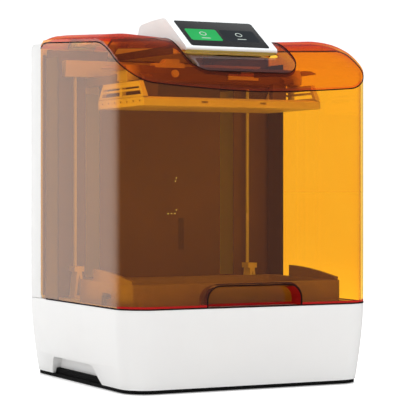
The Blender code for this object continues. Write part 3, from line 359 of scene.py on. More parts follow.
def placed(outline, axis, level):
    """2-D outline set at a level along an axis: Z takes (x, y), Y takes (x, z), X takes (y, z)."""
    if axis == "Z":
        return [(a, b, level) for a, b in outline]
    if axis == "Y":
        return [(a, level, b) for a, b in outline]
    return [(level, a, b) for a, b in outline]


def prism(name, outline, axis, low, high, looks, index=0):
    return loft(name, [placed(outline, axis, low), placed(outline, axis, high)], looks, index)


def span(side, near, far):
    """Low and high X of a stretch that lies between two distances from the middle on one side."""
    return sorted((side * near, side * far))


def arc(centre, radius, start, step, count):
    """Points on a circle, from the start angle on in equal steps (degrees)."""
    turns = [math.radians(start + step * i) for i in range(count)]
    return [(centre[0] + radius * math.cos(turn), centre[1] + radius * math.sin(turn)) for turn in turns]


def circle(centre, radius, segments=32):
    return [(centre[0] + radius * math.cos(math.tau * i / segments),
             centre[1] + radius * math.sin(math.tau * i / segments)) for i in range(segments)]


def upright(node):
    """Centre in plan and radius of a round CAD node that stands on end."""
    low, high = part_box(node)
    return ((low.x + high.x) / 2, (low.y + high.y) / 2), (high.x - low.x) / 2


def turned(name, centre, axis, steps, looks, segments=32):
    """Round body along an axis through steps of (radius, level)."""
    rings = [placed(circle(centre, radius, segments), axis, level) for radius, level in steps]
    return loft(name, rings, looks)


def rounded(low_a, high_a, low_b, high_b, near, far=None, segments=12):
    """Rectangle with round corners: near is the radius at low_b, far the one at high_b."""
    far = near if far is None else far
    corners = ((high_a - near, low_b + near, near, -90), (high_a - far, high_b - far, far, 0),
               (low_a + far, high_b - far, far, 90), (low_a + near, low_b + near, near, 180))
    outline = []
    for a, b, radius, start in corners:
        outline += arc((a, b), radius, start, 90 / segments, segments + 1)
    return outline


def softened(outline, radius, steps=4):
    """The outline with each corner replaced by a short curve of about the given radius."""
    made = []
    for i, corner in enumerate(outline):
        here = Vector(corner)
        before, after = Vector(outline[i - 1]) - here, Vector(outline[(i + 1) % len(outline)]) - here
        reach = min(radius, before.length * 0.45, after.length * 0.45)
        start, end = here + before.normalized() * reach, here + after.normalized() * reach
        for step in range(steps + 1):
            t = step / steps
            made.append(tuple(start * (1 - t) ** 2 + here * 2 * t * (1 - t) + end * t * t))
    return made


def bake(obj):
    """Turns an object's modifiers into its mesh."""
    graph = bpy.context.evaluated_depsgraph_get()
    mesh = bpy.data.meshes.new_from_object(obj.evaluated_get(graph))
    obj.modifiers.clear()
    obj.data = mesh
    return obj


def carve(target, *tools, operation="DIFFERENCE"):
    """Cuts the tools out of the target, or joins them to it, and throws the tools away."""
    for tool in tools:
        change = target.modifiers.new("carve", "BOOLEAN")
        change.operation = operation
        change.solver = "EXACT"
        change.object = tool
    bake(target)
    for tool in tools:
        bpy.data.objects.remove(tool)
    return target


def smooth(obj, angle=35.0):
    obj.data.shade_smooth()
    obj.data.set_sharp_from_angle(angle=math.radians(angle))
    return obj


def add_bevel(obj, width, segments, angle):
    bevel = obj.modifiers.new("round", "BEVEL")
    bevel.width = width
    bevel.segments = segments
    bevel.limit_method = "ANGLE"
    bevel.angle_limit = math.radians(angle)


def round_edges(obj, width, segments=2, angle=38.0):
    """Bevels the edges that turn by more than the angle, then bakes and smooths the result."""
    add_bevel(obj, width, segments, angle)
    return smooth(bake(obj))


def split_at(obj, point, normal=(0, 0, 1)):
    """Adds a loop of edges where a plane crosses the object."""
    work = bmesh.new()
    work.from_mesh(obj.data)
    geometry = work.verts[:] + work.edges[:] + work.faces[:]
    bmesh.ops.bisect_plane(work, geom=geometry, plane_co=point, plane_no=normal, dist=0.00001)
    work.to_mesh(obj.data)
    work.free()


def put(obj, body, slot, *replaced):
    """Rides a finished piece on its body and hides the CAD nodes it stands for; the slot argument is not
    used.
    """
    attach(obj, body)
    if replaced:
        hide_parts(*replaced)
    return obj


def runs(path):
    """Each point of a 2-D path with the direction in which the path passes through it."""
    last = len(path) - 1
    steps = [Vector(path[min(i + 1, last)]) - Vector(path[max(i - 1, 0)]) for i in range(len(path))]
    return [(point, step.normalized()) for point, step in zip(path, steps)]


def sweep(name, path, outline, looks):
    """Bar with a 2-D cross-section along a path of (point, side direction, up direction)."""
    return loft(name, [[p + side * a + up * b for a, b in outline] for p, side, up in path], looks)


# ---- base ----
def base_ring(z, inward):
    """Plan of the base at one level. It narrows towards the bottom, its corners by less than its sides."""
    rise = min(1.0, max(0.0, (z - BASE_LOW.z) / (BASE_HIGH.z - BASE_LOW.z)))
    inset = BASE_TAPER * (1.0 - rise) ** 1.6 + inward
    outline = rounded(-HALF_WIDTH + inset, HALF_WIDTH - inset, FRONT_Y + inset, REAR_Y - inset,
                      CORNER_RADIUS - inset * CORNER_LOSS, REAR_RADIUS - inset * CORNER_LOSS)
    return placed(outline, "Z", z)


def base_body():
    """Hollow tapered box with a grip recess low in each side wall."""
    low, high = BASE_LOW.z, BASE_HIGH.z
    levels = [low + (high - BASE_TOP_ROUND - low) * (i / 12) ** 1.15 for i in range(13)]
    rings = [base_ring(z, 0.0) for z in levels]
    for step in range(1, 5):
        turn = math.radians(22.5 * step)
        drop, inward = BASE_TOP_ROUND * (1 - math.sin(turn)), BASE_TOP_ROUND * (1 - math.cos(turn))
        rings.append(base_ring(high - drop, inward))
    body = loft("base_body", rings, [WHITE])
    hollow = loft("hollow", [base_ring(z, WALL) for z in [0.001] + levels[1:-1] + [high - WALL]], [WHITE])
    for side in (-1, 1):
        lining = softened([(-0.062, -0.002), (-0.040, 0.028), (0.081, 0.028), (0.095, -0.002)], 0.004)
        reach = span(side, HALF_WIDTH - 0.0194, HALF_WIDTH + 0.002)
        carve(hollow, prism("lining", lining, "X", *reach, [WHITE]))
    carve(body, hollow)
    for side in (-1, 1):
        grip = softened([(-0.070, -0.004), (-0.056, 0.0055), (-0.0465, 0.013), (-0.0365, 0.0246),
                         (0.0765, 0.0246), (0.0885, -0.004)], 0.006, 6)
        reach = span(side, HALF_WIDTH - 0.0164, HALF_WIDTH + 0.003)
        carve(body, prism("grip", grip, "X", *reach, [WHITE]))
    return body


def base_openings(body):
    """The bed's opening, the screw's passage, the rear inlet and vents, and the socket on the right."""
    top = (BASE_HIGH.z - 0.006, BASE_HIGH.z + 0.006)
    rear_wall, side_wall = (REAR_Y - 0.016, REAR_Y + 0.004), (0.130, 0.154)
    bed = rounded(-0.1385, 0.1385, -0.1215, 0.0585, 0.008)
    inlet = rounded(-0.1123, -0.0537, 0.0297, 0.0598, 0.0008, segments=3)
    usb = rounded(-0.0793, -0.0637, 0.0337, 0.0423, 0.0006, segments=3)
    tools = [prism("bed", bed, "Z", *top, [WHITE]),
             prism("screw", circle((0, SCREW_Y), SCREW_HOLE), "Z", *top, [WHITE]),
             prism("inlet", inlet, "Y", *rear_wall, [WHITE]),
             prism("usb", usb, "X", *side_wall, [WHITE])]
    for slot in range(7):
        x = 0.036 + 0.008 * slot
        vent = rounded(x - 0.0018, x + 0.0018, 0.024, 0.066, 0.0017, segments=5)
        tools.append(prism("vent", vent, "Y", *rear_wall, [WHITE]))
    return carve(body, *tools)


def shadow_tray_ring(inset, z):
    """Outline of the black sheet under the base at one level; the sheet is a painted shadow."""
    return [(x, y, z) for x, y, _ in base_ring(BASE_LOW.z, inset)]


def shadow_tray():
    """Black sheet that closes the base from below and stands in for the shadow under it, a painted shadow;
    the four feet pass through it.
    """
    flange_top = BASE_LOW.z - 0.0002
    rings = [shadow_tray_ring(0.0012, 0.0010), shadow_tray_ring(0.0012, flange_top),
             shadow_tray_ring(SHADOW_TRAY_INSET, flange_top), shadow_tray_ring(SHADOW_TRAY_INSET, SHADOW_TRAY_TOP)]
    shadow_sheet = loft("shadow_tray", rings, [SHADOW_BLACK])
    for word in ("front_left", "front_right", "rear_left", "rear_right"):
        centre, radius = upright("foot_" + word)
        hole = circle(centre, radius + GAP, 48)
        carve(shadow_sheet, prism("hole", hole, "Z", -0.01, 0.02, [SHADOW_BLACK]))
    put(smooth(shadow_sheet), "frame", "steel", "base_plate")


def base():
    body = base_openings(base_body())
    room = [shadow_tray_ring(SHADOW_TRAY_INSET - GAP, z) for z in (0.0, SHADOW_TRAY_TOP + GAP)]
    carve(body, loft("room", room, [WHITE]))
    put(round_edges(body, 0.0006), "frame", "white_plastic", "base_shell")


# ---- rear housing ----
def housing_ring(z, inward):
    """Plan of the rear housing: a flat front and two round rear corners."""
    radius = max(0.003, REAR_RADIUS - inward)
    half, rear = HALF_WIDTH - inward, REAR_Y - inward
    outline = [(-half, HOUSING_LOW.y), (half, HOUSING_LOW.y)]
    outline += arc((half - radius, rear - radius), radius, 0, 9, 11)
    outline += arc((-half + radius, rear - radius), radius, 90, 9, 11)
    return placed(outline, "Z", z)


def housing():
    """Tall rear shell with a round top edge, openings for the head and the hinges, and four screws."""
    low, high = HOUSING_LOW.z, HOUSING_HIGH.z
    rings = [housing_ring(low, 0.0)]
    for step in range(9):
        turn = math.radians(90 * step / 8)
        rings.append(housing_ring(high - 0.007 * (1 - math.sin(turn)), 0.0065 * (1 - math.cos(turn))))
    body = loft("rear_housing_body", rings, [WHITE])
    front, inside, above = HOUSING_LOW.y - 0.006, HALF_WIDTH - WALL, 0.390
    hollow = [(-inside, front), (inside, front), (inside, REAR_Y - WALL), (-inside, REAR_Y - WALL)]
    half_neck = HEAD_HIGH.x + 0.0004
    neck = rounded(-half_neck, half_neck, front, REAR_Y + 0.01, 0.0005, segments=2)
    tools = [prism("hollow", softened(hollow, 0.006), "Z", low + WALL, 0.370, [WHITE]),
             prism("neck", neck, "Z", 0.3727, above, [WHITE]),
             prism("passage", circle((0, SCREW_Y), SCREW_HOLE), "Z", low - 0.005, low + 0.006, [WHITE])]
    for side in (-1, 1):
        notch = rounded(*span(side, NOTCH_NEAR, NOTCH_FAR), front, 0.1105, 0.001, segments=3)
        tools.append(prism("notch", notch, "Z", 0.3760, above, [WHITE]))
        for _, height in COVER_SCREW_HEIGHTS:
            well = circle((side * COVER_SCREW_X, height), 0.0042)
            tools.append(prism("screw_well", well, "Y", REAR_Y - SCREW_SINK, REAR_Y + 0.002, [WHITE]))
    carve(body, *tools)
    put(round_edges(body, 0.0007), "frame", "white_plastic", "rear_housing")
    for side, word in ((-1, "left"), (1, "right")):
        for level, height in COVER_SCREW_HEIGHTS:
            rear_screw("rear_screw_%s_%s" % (level, word), side * COVER_SCREW_X, height)


def rear_screw(name, x, z):
    """Button-head screw with a hexagonal socket in the rear wall."""
    seat = REAR_Y - SCREW_SINK
    steps = ((0.0036, seat), (0.0036, seat + 0.0003), (0.0031, seat + 0.0010), (0.0022, seat + 0.0014))
    head = turned(name, (x, z), "Y", steps, [STEEL])
    carve(head, prism("socket", circle((x, z), 0.0015, 6), "Y", REAR_Y - 0.0012, REAR_Y + 0.002, [STEEL]))
    put(smooth(head), "frame", "steel")


# ---- head ----
def on_screen(across, along, lift):
    """A point on the head's sloping face: across X, up the slope, and out along its normal."""
    slope = Vector((0, math.cos(SCREEN_SLOPE), math.sin(SCREEN_SLOPE)))
    normal = Vector((0, -math.sin(SCREEN_SLOPE), math.cos(SCREEN_SLOPE)))
    return SCREEN_FOOT + Vector((across, 0, 0)) + slope * along + normal * lift


def slope_slab(name, outline, low, high, looks):
    return loft(name, [[on_screen(a, b, lift) for a, b in outline] for lift in (low, high)], looks)


def head():
    """White hood that carries the screen; its faces that look into the cover are black."""
    outline = [(-0.0845, 0.3650), (-0.0870, 0.3680), (-0.0860, 0.3705), (-0.0385, 0.4022), (-0.0350, 0.4045),
               (-0.0290, 0.4055), (-0.0040, 0.4050), (0.0290, 0.4025), (0.0340, 0.4005), (0.0380, 0.3915),
               (0.1340, 0.3895), (0.1390, 0.3870), (0.1398, 0.3840), (0.1398, 0.3731), (0.0960, 0.3731),
               (0.0945, 0.3660), (-0.0540, 0.3640)]
    body = prism("head_body", softened(outline, 0.0022, 5), "X", HEAD_LOW.x, HEAD_HIGH.x, [HEAD_WHITE_LIT])
    hollow = [(-0.0600, 0.3600), (-0.0600, 0.3760), (-0.0320, 0.3960), (0.0300, 0.3960), (0.0360, 0.3860),
              (0.0910, 0.3860), (0.0910, 0.3600)]
    margin = 0.0004
    half = SCREEN_WIDE / 2 + margin
    seat = rounded(-half, half, -margin, SCREEN_LONG + margin, 0.0034)
    carve(body, prism("hollow", hollow, "X", HEAD_LOW.x + WALL, HEAD_HIGH.x - WALL, [HEAD_WHITE_LIT]),
          slope_slab("seat", seat, -0.0024, 0.004, [HEAD_WHITE_LIT]))
    round_edges(body, 0.0011, 3, 45.0)
    body.data.materials.append(BLACK)
    split_at(body, (0, 0, HEAD_DARK_TOP))
    split_at(body, (0, HEAD_DARK_FRONT, 0), (0, 1, 0))
    for face in body.data.polygons:
        hidden = face.center.z < HEAD_DARK_TOP and face.center.y > HEAD_DARK_FRONT
        if hidden and (abs(face.normal.x) > 0.5 or face.normal.z < -0.3):
            face.material_index = 1
    put(smooth(body), "frame", "white_plastic", "head_housing")


def head_gold_line():
    """Gold line under the lip, with short returns round its corners."""
    half, front, radius = HEAD_HIGH.x + 0.0002, HEAD_LOW.y + 0.0016, 0.003
    path = [(half, front + 0.020), (half, front + radius)]
    path += arc((half - radius, front + radius), radius, 0, -15, 7)
    path += arc((-half + radius, front + radius), radius, -90, -15, 7)
    path += [(-half, front + radius), (-half, front + 0.020)]
    level = HEAD_LOW.z + 0.0006
    rows = [(Vector((x, y, level)), Vector((-run.y, run.x, 0.0)), UP)
            for (x, y), run in runs(path)]
    section = rounded(-0.0006, 0.0006, 0.0, 0.0022, 0.0003, segments=2)
    put(smooth(sweep("head_gold_line", rows, section, [GOLD])), "frame", "anodised_metal")


def screen():
    """Glass with a lit green tile on the left, a dark tile on the right and plain signs on both."""
    half = SCREEN_WIDE / 2
    pane = rounded(-half, half, 0.0, SCREEN_LONG, 0.003)
    glass = slope_slab("screen_glass", pane, -0.0020, 0.0003, [GLASS])
    put(round_edges(glass, 0.00035), "frame", "dark_glass", "touch_screen")
    panel = (0.00032, 0.00044)
    sign = (0.00044, 0.00052)
    for name, low, high, look in (("screen_tile_left", -0.0430, -0.0045, TILE_GREEN),
                                  ("screen_tile_right", -0.0005, 0.0420, TILE_GREY)):
        tile = slope_slab(name, rounded(low, high, 0.0120, 0.0370, 0.0025, segments=6), *panel, [look])
        put(tile, "frame", "dark_glass")
        centre = ((low + high) / 2, 0.0270)
        low_lift, high_lift = sign
        ring = [[on_screen(*outer, low_lift), on_screen(*inner, low_lift), on_screen(*inner, high_lift),
                 on_screen(*outer, high_lift)]
                for outer, inner in zip(circle(centre, 0.0042), circle(centre, 0.0032))]
        put(hoop(name + "_ring", ring, [ICON_WHITE]), "frame", "dark_glass")
        bar = rounded(centre[0] - 0.0055, centre[0] + 0.0055, 0.0165, 0.0178, 0.0005, segments=3)
        put(slope_slab(name + "_bar", bar, *sign, [ICON_WHITE]), "frame", "dark_glass")


# ---- cover ----
def roof_height(x, y):
    """Outer surface of the roof: it climbs from the front wall in a quarter wave and is crowned across X."""
    back = y - FRONT_Y
    side = min(1.0, abs(x) / HALF_WIDTH)
    start = 0.323 + 0.006 * min(1.0, abs(x) / 0.1168) ** 1.6
    climb = 0.048 + 0.0074 * (1.0 - side ** 12)
    run = min(1.0, max(0.0, back / ROOF_RUN))
    wave = math.sin(0.5 * math.pi * run ** (0.923 + 0.048 * side ** 2))
    height = start + climb * wave + 0.066 * max(0.0, back - ROOF_RUN)
    return min(height, 0.393 - 0.62 * (back - 0.222))


def wall_distance(x, y):
    dx, dy = abs(x) - (HALF_WIDTH - CORNER_RADIUS), (FRONT_Y + CORNER_RADIUS) - y
    if dx > 0 and dy > 0:
        return CORNER_RADIUS - math.hypot(dx, dy)
    return min(HALF_WIDTH - abs(x), y - FRONT_Y)


def roof_under(x, y):
    """Inner surface of the roof, a wall's thickness below the outer one and thinner near the rim."""
    step = 0.001
    slope_x = (roof_height(x + step, y) - roof_height(x - step, y)) / (2 * step)
    slope_y = (roof_height(x, y + step) - roof_height(x, y - step)) / (2 * step)
    steep = math.sqrt(1.0 + slope_x ** 2 + slope_y ** 2)
    return roof_height(x, y) - min(ROOF_THICK * steep, ROOF_THICK + 0.25 * max(0.0, wall_distance(x, y)))


def cover_path():
    """Stations (x, y, inward x, inward y) round the cover's plan, from the right rear to the left rear."""
    rear, corner_y = SHELL_HIGH.y, FRONT_Y + CORNER_RADIUS
    flat = HALF_WIDTH - CORNER_RADIUS
    side = [rear + (corner_y - rear) * i / 26 for i in range(26)]
    side = [rear - REAR_FOOT * (1 - math.cos(math.radians(9 * i))) for i in range(10)] + side[2:]
    path = [(HALF_WIDTH, y, -1.0, 0.0) for y in side]
    turns = [math.radians(90 * i / 18) for i in range(18)]
    path += [(flat + CORNER_RADIUS * math.cos(t), corner_y - CORNER_RADIUS * math.sin(t), -math.cos(t),
              math.sin(t)) for t in turns]
    path += [(flat - 2 * flat * i / 36, FRONT_Y, 0.0, 1.0) for i in range(36)]
    path += [(-flat - CORNER_RADIUS * math.sin(t), corner_y - CORNER_RADIUS * math.cos(t), math.sin(t),
              math.cos(t)) for t in turns]
    return path + [(-HALF_WIDTH, y, 1.0, 0.0) for y in reversed(side)]


def shell_column(x, y, inward_x, inward_y):
    """One slice of the wall: up the outside, then down the inside. Its rear lower corner is round."""
    past = max(0.0, y - (SHELL_HIGH.y - REAR_FOOT))
    low = SHELL_LOW.z + REAR_FOOT - math.sqrt(max(0.0, REAR_FOOT ** 2 - past ** 2))
    rim = low + RIM_HEIGHT * 2
    column = []
    for deep, shares in ((0.0, (0.0, 0.25, 0.5, 0.75, 1.0)), (WALL, (1.0, 0.75, 0.5, 0.25, 0.0))):
        px, py = x + inward_x * deep, y + inward_y * deep
        top = roof_under(px, py) - GAP
        rows = [(px, py, rim + (top - rim) * share) for share in shares]
        column += rows + [(px, py, low)] if deep else [(px, py, low)] + rows
    return column


def pocket_outline(grow):
    """The finger pocket seen from the front: flat top, round upper corners, open below."""
    half, top, radius = POCKET_HALF + grow, POCKET_TOP + grow, 0.016 + grow
    outline = [(half, SHELL_LOW.z - 0.003), (half, top - radius)]
    outline += arc((half - radius, top - radius), radius, 0, 9, 11)
    outline += arc((-half + radius, top - radius), radius, 90, 9, 11)
    return outline + [(-half, SHELL_LOW.z - 0.003)]


def colour_walls(walls):
    """Red along the front's lower edge, dark on cut edges and in the pocket's depth, amber elsewhere."""
    rim, front = SHELL_LOW.z + RIM_HEIGHT, FRONT_Y + CORNER_RADIUS * 0.8
    around = 0.004
    for face in walls.data.polygons:
        centre, normal = face.center, face.normal
        in_pocket = abs(centre.x) < POCKET_HALF + around and centre.z < POCKET_TOP + around
        in_pocket = in_pocket and FRONT_Y + 0.0002 < centre.y < FRONT_Y + POCKET_DEPTH + around
        face.material_index = AMBER
        if centre.z < rim and centre.y < front:
            face.material_index = RIM
        elif abs(normal.z) > 0.9:
            face.material_index = EDGE
        elif in_pocket and abs(normal.y) < 0.9:
            face.material_index = RIM if normal.x < -0.5 and centre.x > 0 else EDGE


def cover_walls():
    """Front and side walls in one sheet, with the finger pocket pressed into the front."""
    looks = [AMBER_WALL, AMBER_RIM, AMBER_EDGE]
    walls = loft("cover_walls", [shell_column(*station) for station in cover_path()], looks)
    back = FRONT_Y + POCKET_DEPTH
    mouth, floor_outline = pocket_outline(POCKET_LINING), pocket_outline(POCKET_LINING - POCKET_DRAFT)
    lining = loft("lining", [placed(mouth, "Y", FRONT_Y + 0.001),
                             placed(floor_outline, "Y", back + POCKET_LINING)], looks)
    trim = prism("trim", rounded(-0.08, 0.08, -0.02, SHELL_LOW.z, 0.001, segments=1), "Y", FRONT_Y - 0.02,
                 FRONT_Y + 0.04, looks)
    carve(lining, trim)
    pocket = loft("pocket", [placed(pocket_outline(0.0), "Y", FRONT_Y - 0.005),
                             placed(pocket_outline(0.0), "Y", FRONT_Y),
                             placed(pocket_outline(-POCKET_DRAFT), "Y", back)], looks)
    carve(walls, lining, operation="UNION")
    carve(walls, pocket)
    split_at(walls, (0, 0, SHELL_LOW.z + RIM_HEIGHT))
    colour_walls(walls)
    put(smooth(walls, 30.0), "cover", "amber_plastic", "cover_shell")


def dark_line(name, rows, *edges):
    """Thin dark strip on the cover; the edges bound its cross-section."""
    section = rounded(*edges, 0.0002, segments=2)
    put(smooth(sweep(name, rows, section, [SEAM_AND_SHADOW])), "cover", "amber_plastic")


def pocket_line():
    """Dark lip round the pocket's mouth."""
    outline = pocket_outline(0.0)
    outline[0], outline[-1] = (outline[0][0], SHELL_LOW.z), (outline[-1][0], SHELL_LOW.z)
    rows = [(Vector((x, FRONT_Y, z)), Vector((run.y, 0.0, -run.x)), Vector((0, 1, 0)))
            for (x, z), run in runs(outline)]
    dark_line("cover_pocket_lip", rows, -0.0011, 0.0004, -0.0002, 0.0010)


def roof_grid(name, looks):
    """Roof sheet on a grid that is finer near the front and the sides."""
    rear = SHELL_HIGH.y
    columns = [HALF_WIDTH * 1.01 * math.sin(math.pi / 2 * i / 28) for i in range(-28, 29)]
    rows = [FRONT_Y - 0.001 + (rear - FRONT_Y + 0.001) * (i / 46) ** 1.6 for i in range(47)]
    points = [(x, y, roof_under(x, y)) for y in rows for x in columns]
    points += [(x, y, roof_height(x, y)) for y in rows for x in columns]
    across, deep = len(columns), len(rows)
    layer = across * deep
    faces = []
    for j in range(deep - 1):
        for i in range(across - 1):
            a = j * across + i
            faces.append((a, a + 1, a + across + 1, a + across))
            faces.append((layer + a, layer + a + across, layer + a + across + 1, layer + a + 1))
    loop = list(range(across)) + [j * across + across - 1 for j in range(1, deep)]
    loop += [(deep - 1) * across + i for i in range(across - 2, -1, -1)]
    loop += [j * across for j in range(deep - 2, 0, -1)]
    faces += [(a, b, layer + b, layer + a) for a, b in zip(loop, loop[1:] + loop[:1])]
    return new_object(name, points, faces, looks)


def scoop_plan(half, front, radius, stretch=0.0):
    """U-shaped outline open to the rear, from the right rear round the front to the left rear."""
    rear = SHELL_HIGH.y
    side = [rear + (front + radius + 0.002 - rear) * i / 24 for i in range(25)]
    side[0] += stretch
    outline = [(half, y) for y in side]
    outline += arc((half - radius, front + radius), radius, 0, -7.5, 13)
    outline += arc((-half + radius, front + radius), radius, -90, -7.5, 13)
    return outline + [(-half, y) for y in reversed(side)]


def visor():
    """Roof sheet trimmed to the cover's plan, with the scoop's opening and two notches for the hinges."""
    looks = [AMBER_VISOR, AMBER_RIM, AMBER_EDGE]
    roof = roof_grid("cover_roof", looks)
    rear = SHELL_HIGH.y + 0.001
    plan = [station[:2] for station in cover_path()] + [(-HALF_WIDTH, rear), (HALF_WIDTH, rear)]
    carve(roof, prism("plan", plan, "Z", *ROOF_BAND, looks), operation="INTERSECT")
    opening = scoop_plan(SCOOP_OUTER_HALF, SCOOP_FRONT_Y, OPENING_RADIUS, 0.004)
    tools = [prism("opening", opening, "Z", *ROOF_BAND, looks, EDGE)]
    for side in (-1, 1):
        notch = rounded(*span(side, NOTCH_NEAR, NOTCH_FAR), 0.0880, 0.1200, 0.001, segments=2)
        tools.append(prism("notch", notch, "Z", 0.360, 0.400, looks, EDGE))
    carve(roof, *tools)
    put(smooth(roof, 30.0), "cover", "amber_plastic", "cover_visor")


def scoop():
    """Band that dips from the roof's opening down towards the head."""
    outer = scoop_plan(SCOOP_OUTER_HALF - GAP, SCOOP_FRONT_Y + GAP, OPENING_RADIUS)
    inner = scoop_plan(SCOOP_INNER_HALF, SCOOP_BACK_Y, 0.010)
    shares = [i / 8 for i in range(9)]
    rows = []
    for a, b in zip(outer, inner):
        row = []
        for share in shares:
            x, y = (1 - share) * a[0] + share * b[0], (1 - share) * a[1] + share * b[1]
            row.append((x, y, roof_height(x, y) - SCOOP_DEPTH * math.sin(share * math.pi / 2)))
        rows.append(row + [(x, y, z - 0.0022) for x, y, z in reversed(row)])
    sheet = loft("cover_scoop_band", rows, [AMBER_SCOOP_SHEEN])
    put(smooth(sheet, 40.0), "cover", "amber_plastic", "cover_scoop")


def wall_lines():
    """Black strip in the groove between the walls and the base, a painted shadow of that gap, and the dark
    line where the roof meets them.
    """
    groove_shadow, seam = [], []
    for x, y, inward_x, inward_y in cover_path():
        outward = Vector((-inward_x, -inward_y, 0.0))
        seam.append((Vector((x, y, roof_under(x, y) - GAP)), outward, UP))
        if y <= SHELL_HIGH.y - REAR_FOOT:
            groove_shadow.append((Vector((x, y, SHELL_LOW.z)), outward, UP))
    # Painted shadow: a black strip in the groove under the walls.
    dark_line("cover_groove_shadow", groove_shadow, -0.0018, 0.00025, -0.0010, 0.0005)
    dark_line("cover_seam", seam, -0.0008, 0.00025, -0.0006, 0.0007)


def opening_line():
    """Dark lip round the scoop's opening in the roof."""
    outline = scoop_plan(SCOOP_OUTER_HALF, SCOOP_FRONT_Y, OPENING_RADIUS)
    rows = [(Vector((x, y, roof_height(x, y))), Vector((-run.y, run.x, 0.0)), UP)
            for (x, y), run in runs(outline)]
    dark_line("cover_opening_lip", rows, -0.0006, 0.0005, -0.0008, 0.00025)


# ---- interior ----
def stay_rods():
    """Thin upright rods with chamfered ends."""
    for word in ("left", "right"):
        low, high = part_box("stay_rod_" + word)
        centre, radius = upright("stay_rod_" + word)
        tip, chamfer = radius * 0.8, 0.0004
        steps = ((tip, low.z), (radius, low.z + chamfer), (radius, high.z - chamfer), (tip, high.z))
        rod = turned("stay_rod_fine_" + word, centre, "Z", steps, [STEEL])
        put(smooth(rod), "frame", "steel", "stay_rod_" + word)


def build_plate():
    """Printing face with a stepped front edge, two slots in front and a row of small notches on each side."""
    low, high = PLATE_LOW, PLATE_HIGH
    outline = [(low.y, low.z), (high.y, low.z), (high.y, high.z), (low.y + 0.004, high.z),
               (low.y, high.z - 0.002)]
    plate = prism("build_plate_body", outline, "X", low.x, high.x, [ALUMINIUM])
    slot_x, slot_half, first, pitch, notch_half = 0.036, 0.004, 0.0112, 0.0166, 0.0026
    tools = []
    for side in (-1, 1):
        x = side * slot_x
        slot = rounded(x - slot_half, x + slot_half, 0.3086, 0.3108, 0.0004, segments=3)
        tools.append(prism("slot", slot, "Y", low.y - 0.004, low.y + 0.006, [DARK_LINE]))
        reach = span(side, high.x - 0.0025, high.x + 0.003)
        for hole in range(7):
            y = low.y + first + pitch * hole
            notch = [(y - notch_half, 0.3112), (y, 0.3084), (y + notch_half, 0.3112)]
            tools.append(prism("notch", notch, "X", *reach, [DARK_LINE]))
    carve(plate, *tools)
    put(round_edges(plate, 0.0005, 3), "platform", "anodised_metal", "build_plate")


def truss(word):
    """Side frame on the plate: a narrow row of windows above a taller one."""
    low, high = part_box("plate_truss_" + word)
    front, rear, middle = low.y, high.y, (low.y + high.y) / 2
    outline = [(front, low.z), (rear, low.z), (rear - 0.013, high.z), (front + 0.013, high.z)]
    frame = prism("truss_body_" + word, outline, "X", low.x, high.x, [ALUMINIUM])
    lean_rate, left, right = 0.7, middle - 0.003, middle + 0.003
    for bottom, top in ((0.3173, 0.3218), (0.3240, 0.3262)):
        near = front + 0.006 + (bottom - low.z) * lean_rate
        far, lean = front + rear - near, (top - bottom) * lean_rate
        for window in ([(near, bottom), (left, bottom), (left, top), (near + lean, top)],
                       [(right, bottom), (far, bottom), (far - lean, top), (right, top)]):
            opening = softened(window, 0.0006, 3)
            carve(frame, prism("window", opening, "X", low.x - 0.003, high.x + 0.003, [ALUMINIUM]))
    put(round_edges(frame, 0.00035), "platform", "anodised_metal", "plate_truss_" + word)


def platform_latches():
    """Two stepped plates on the platform's cross bar, on its face and on its top, and a round knob."""
    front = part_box("release_lever_left")[0].y - 0.002
    on_face = [(0.014, 0.3375), (0.052, 0.3375), (0.052, 0.3405), (0.046, 0.3405), (0.046, 0.3470),
               (0.030, 0.3470), (0.030, 0.3440), (0.014, 0.3440)]
    on_top = [(-0.074, 0.3490), (-0.038, 0.3490), (-0.038, 0.3545), (-0.044, 0.3545), (-0.044, 0.3590),
              (-0.060, 0.3590), (-0.064, 0.3540), (-0.074, 0.3540)]
    for name, outline, near, far in (("platform_face_latch", on_face, front - 0.0025, front + 0.001),
                                     ("platform_top_latch", on_top, front + 0.003, front + 0.016)):
        latch = prism(name, softened(outline, 0.0006, 2), "Y", near, far, [ALUMINIUM])
        put(round_edges(latch, 0.0003), "platform", "anodised_metal")
    steps = ((0.0042, front + 0.001), (0.0042, front - 0.0030), (0.0036, front - 0.0036))
    knob = turned("platform_knob", (-0.052, 0.3425), "Y", steps, [ALUMINIUM])
    put(smooth(knob), "platform", "anodised_metal")


def vat_fin_outline():
    """Side view of a fin on the vat's rim: it rises in a quarter wave and drops at the rear."""
    front, rear, low, high = VAT_LOW.y + 0.010, 0.004, 0.1173, VAT_HIGH.z
    outline = [(rear, 0.105), (front, 0.105)]
    for i in range(17):
        share = i / 16
        outline.append((front + (rear - front) * share, low + (high - low) * math.sin(share * math.pi / 2)))
    return outline


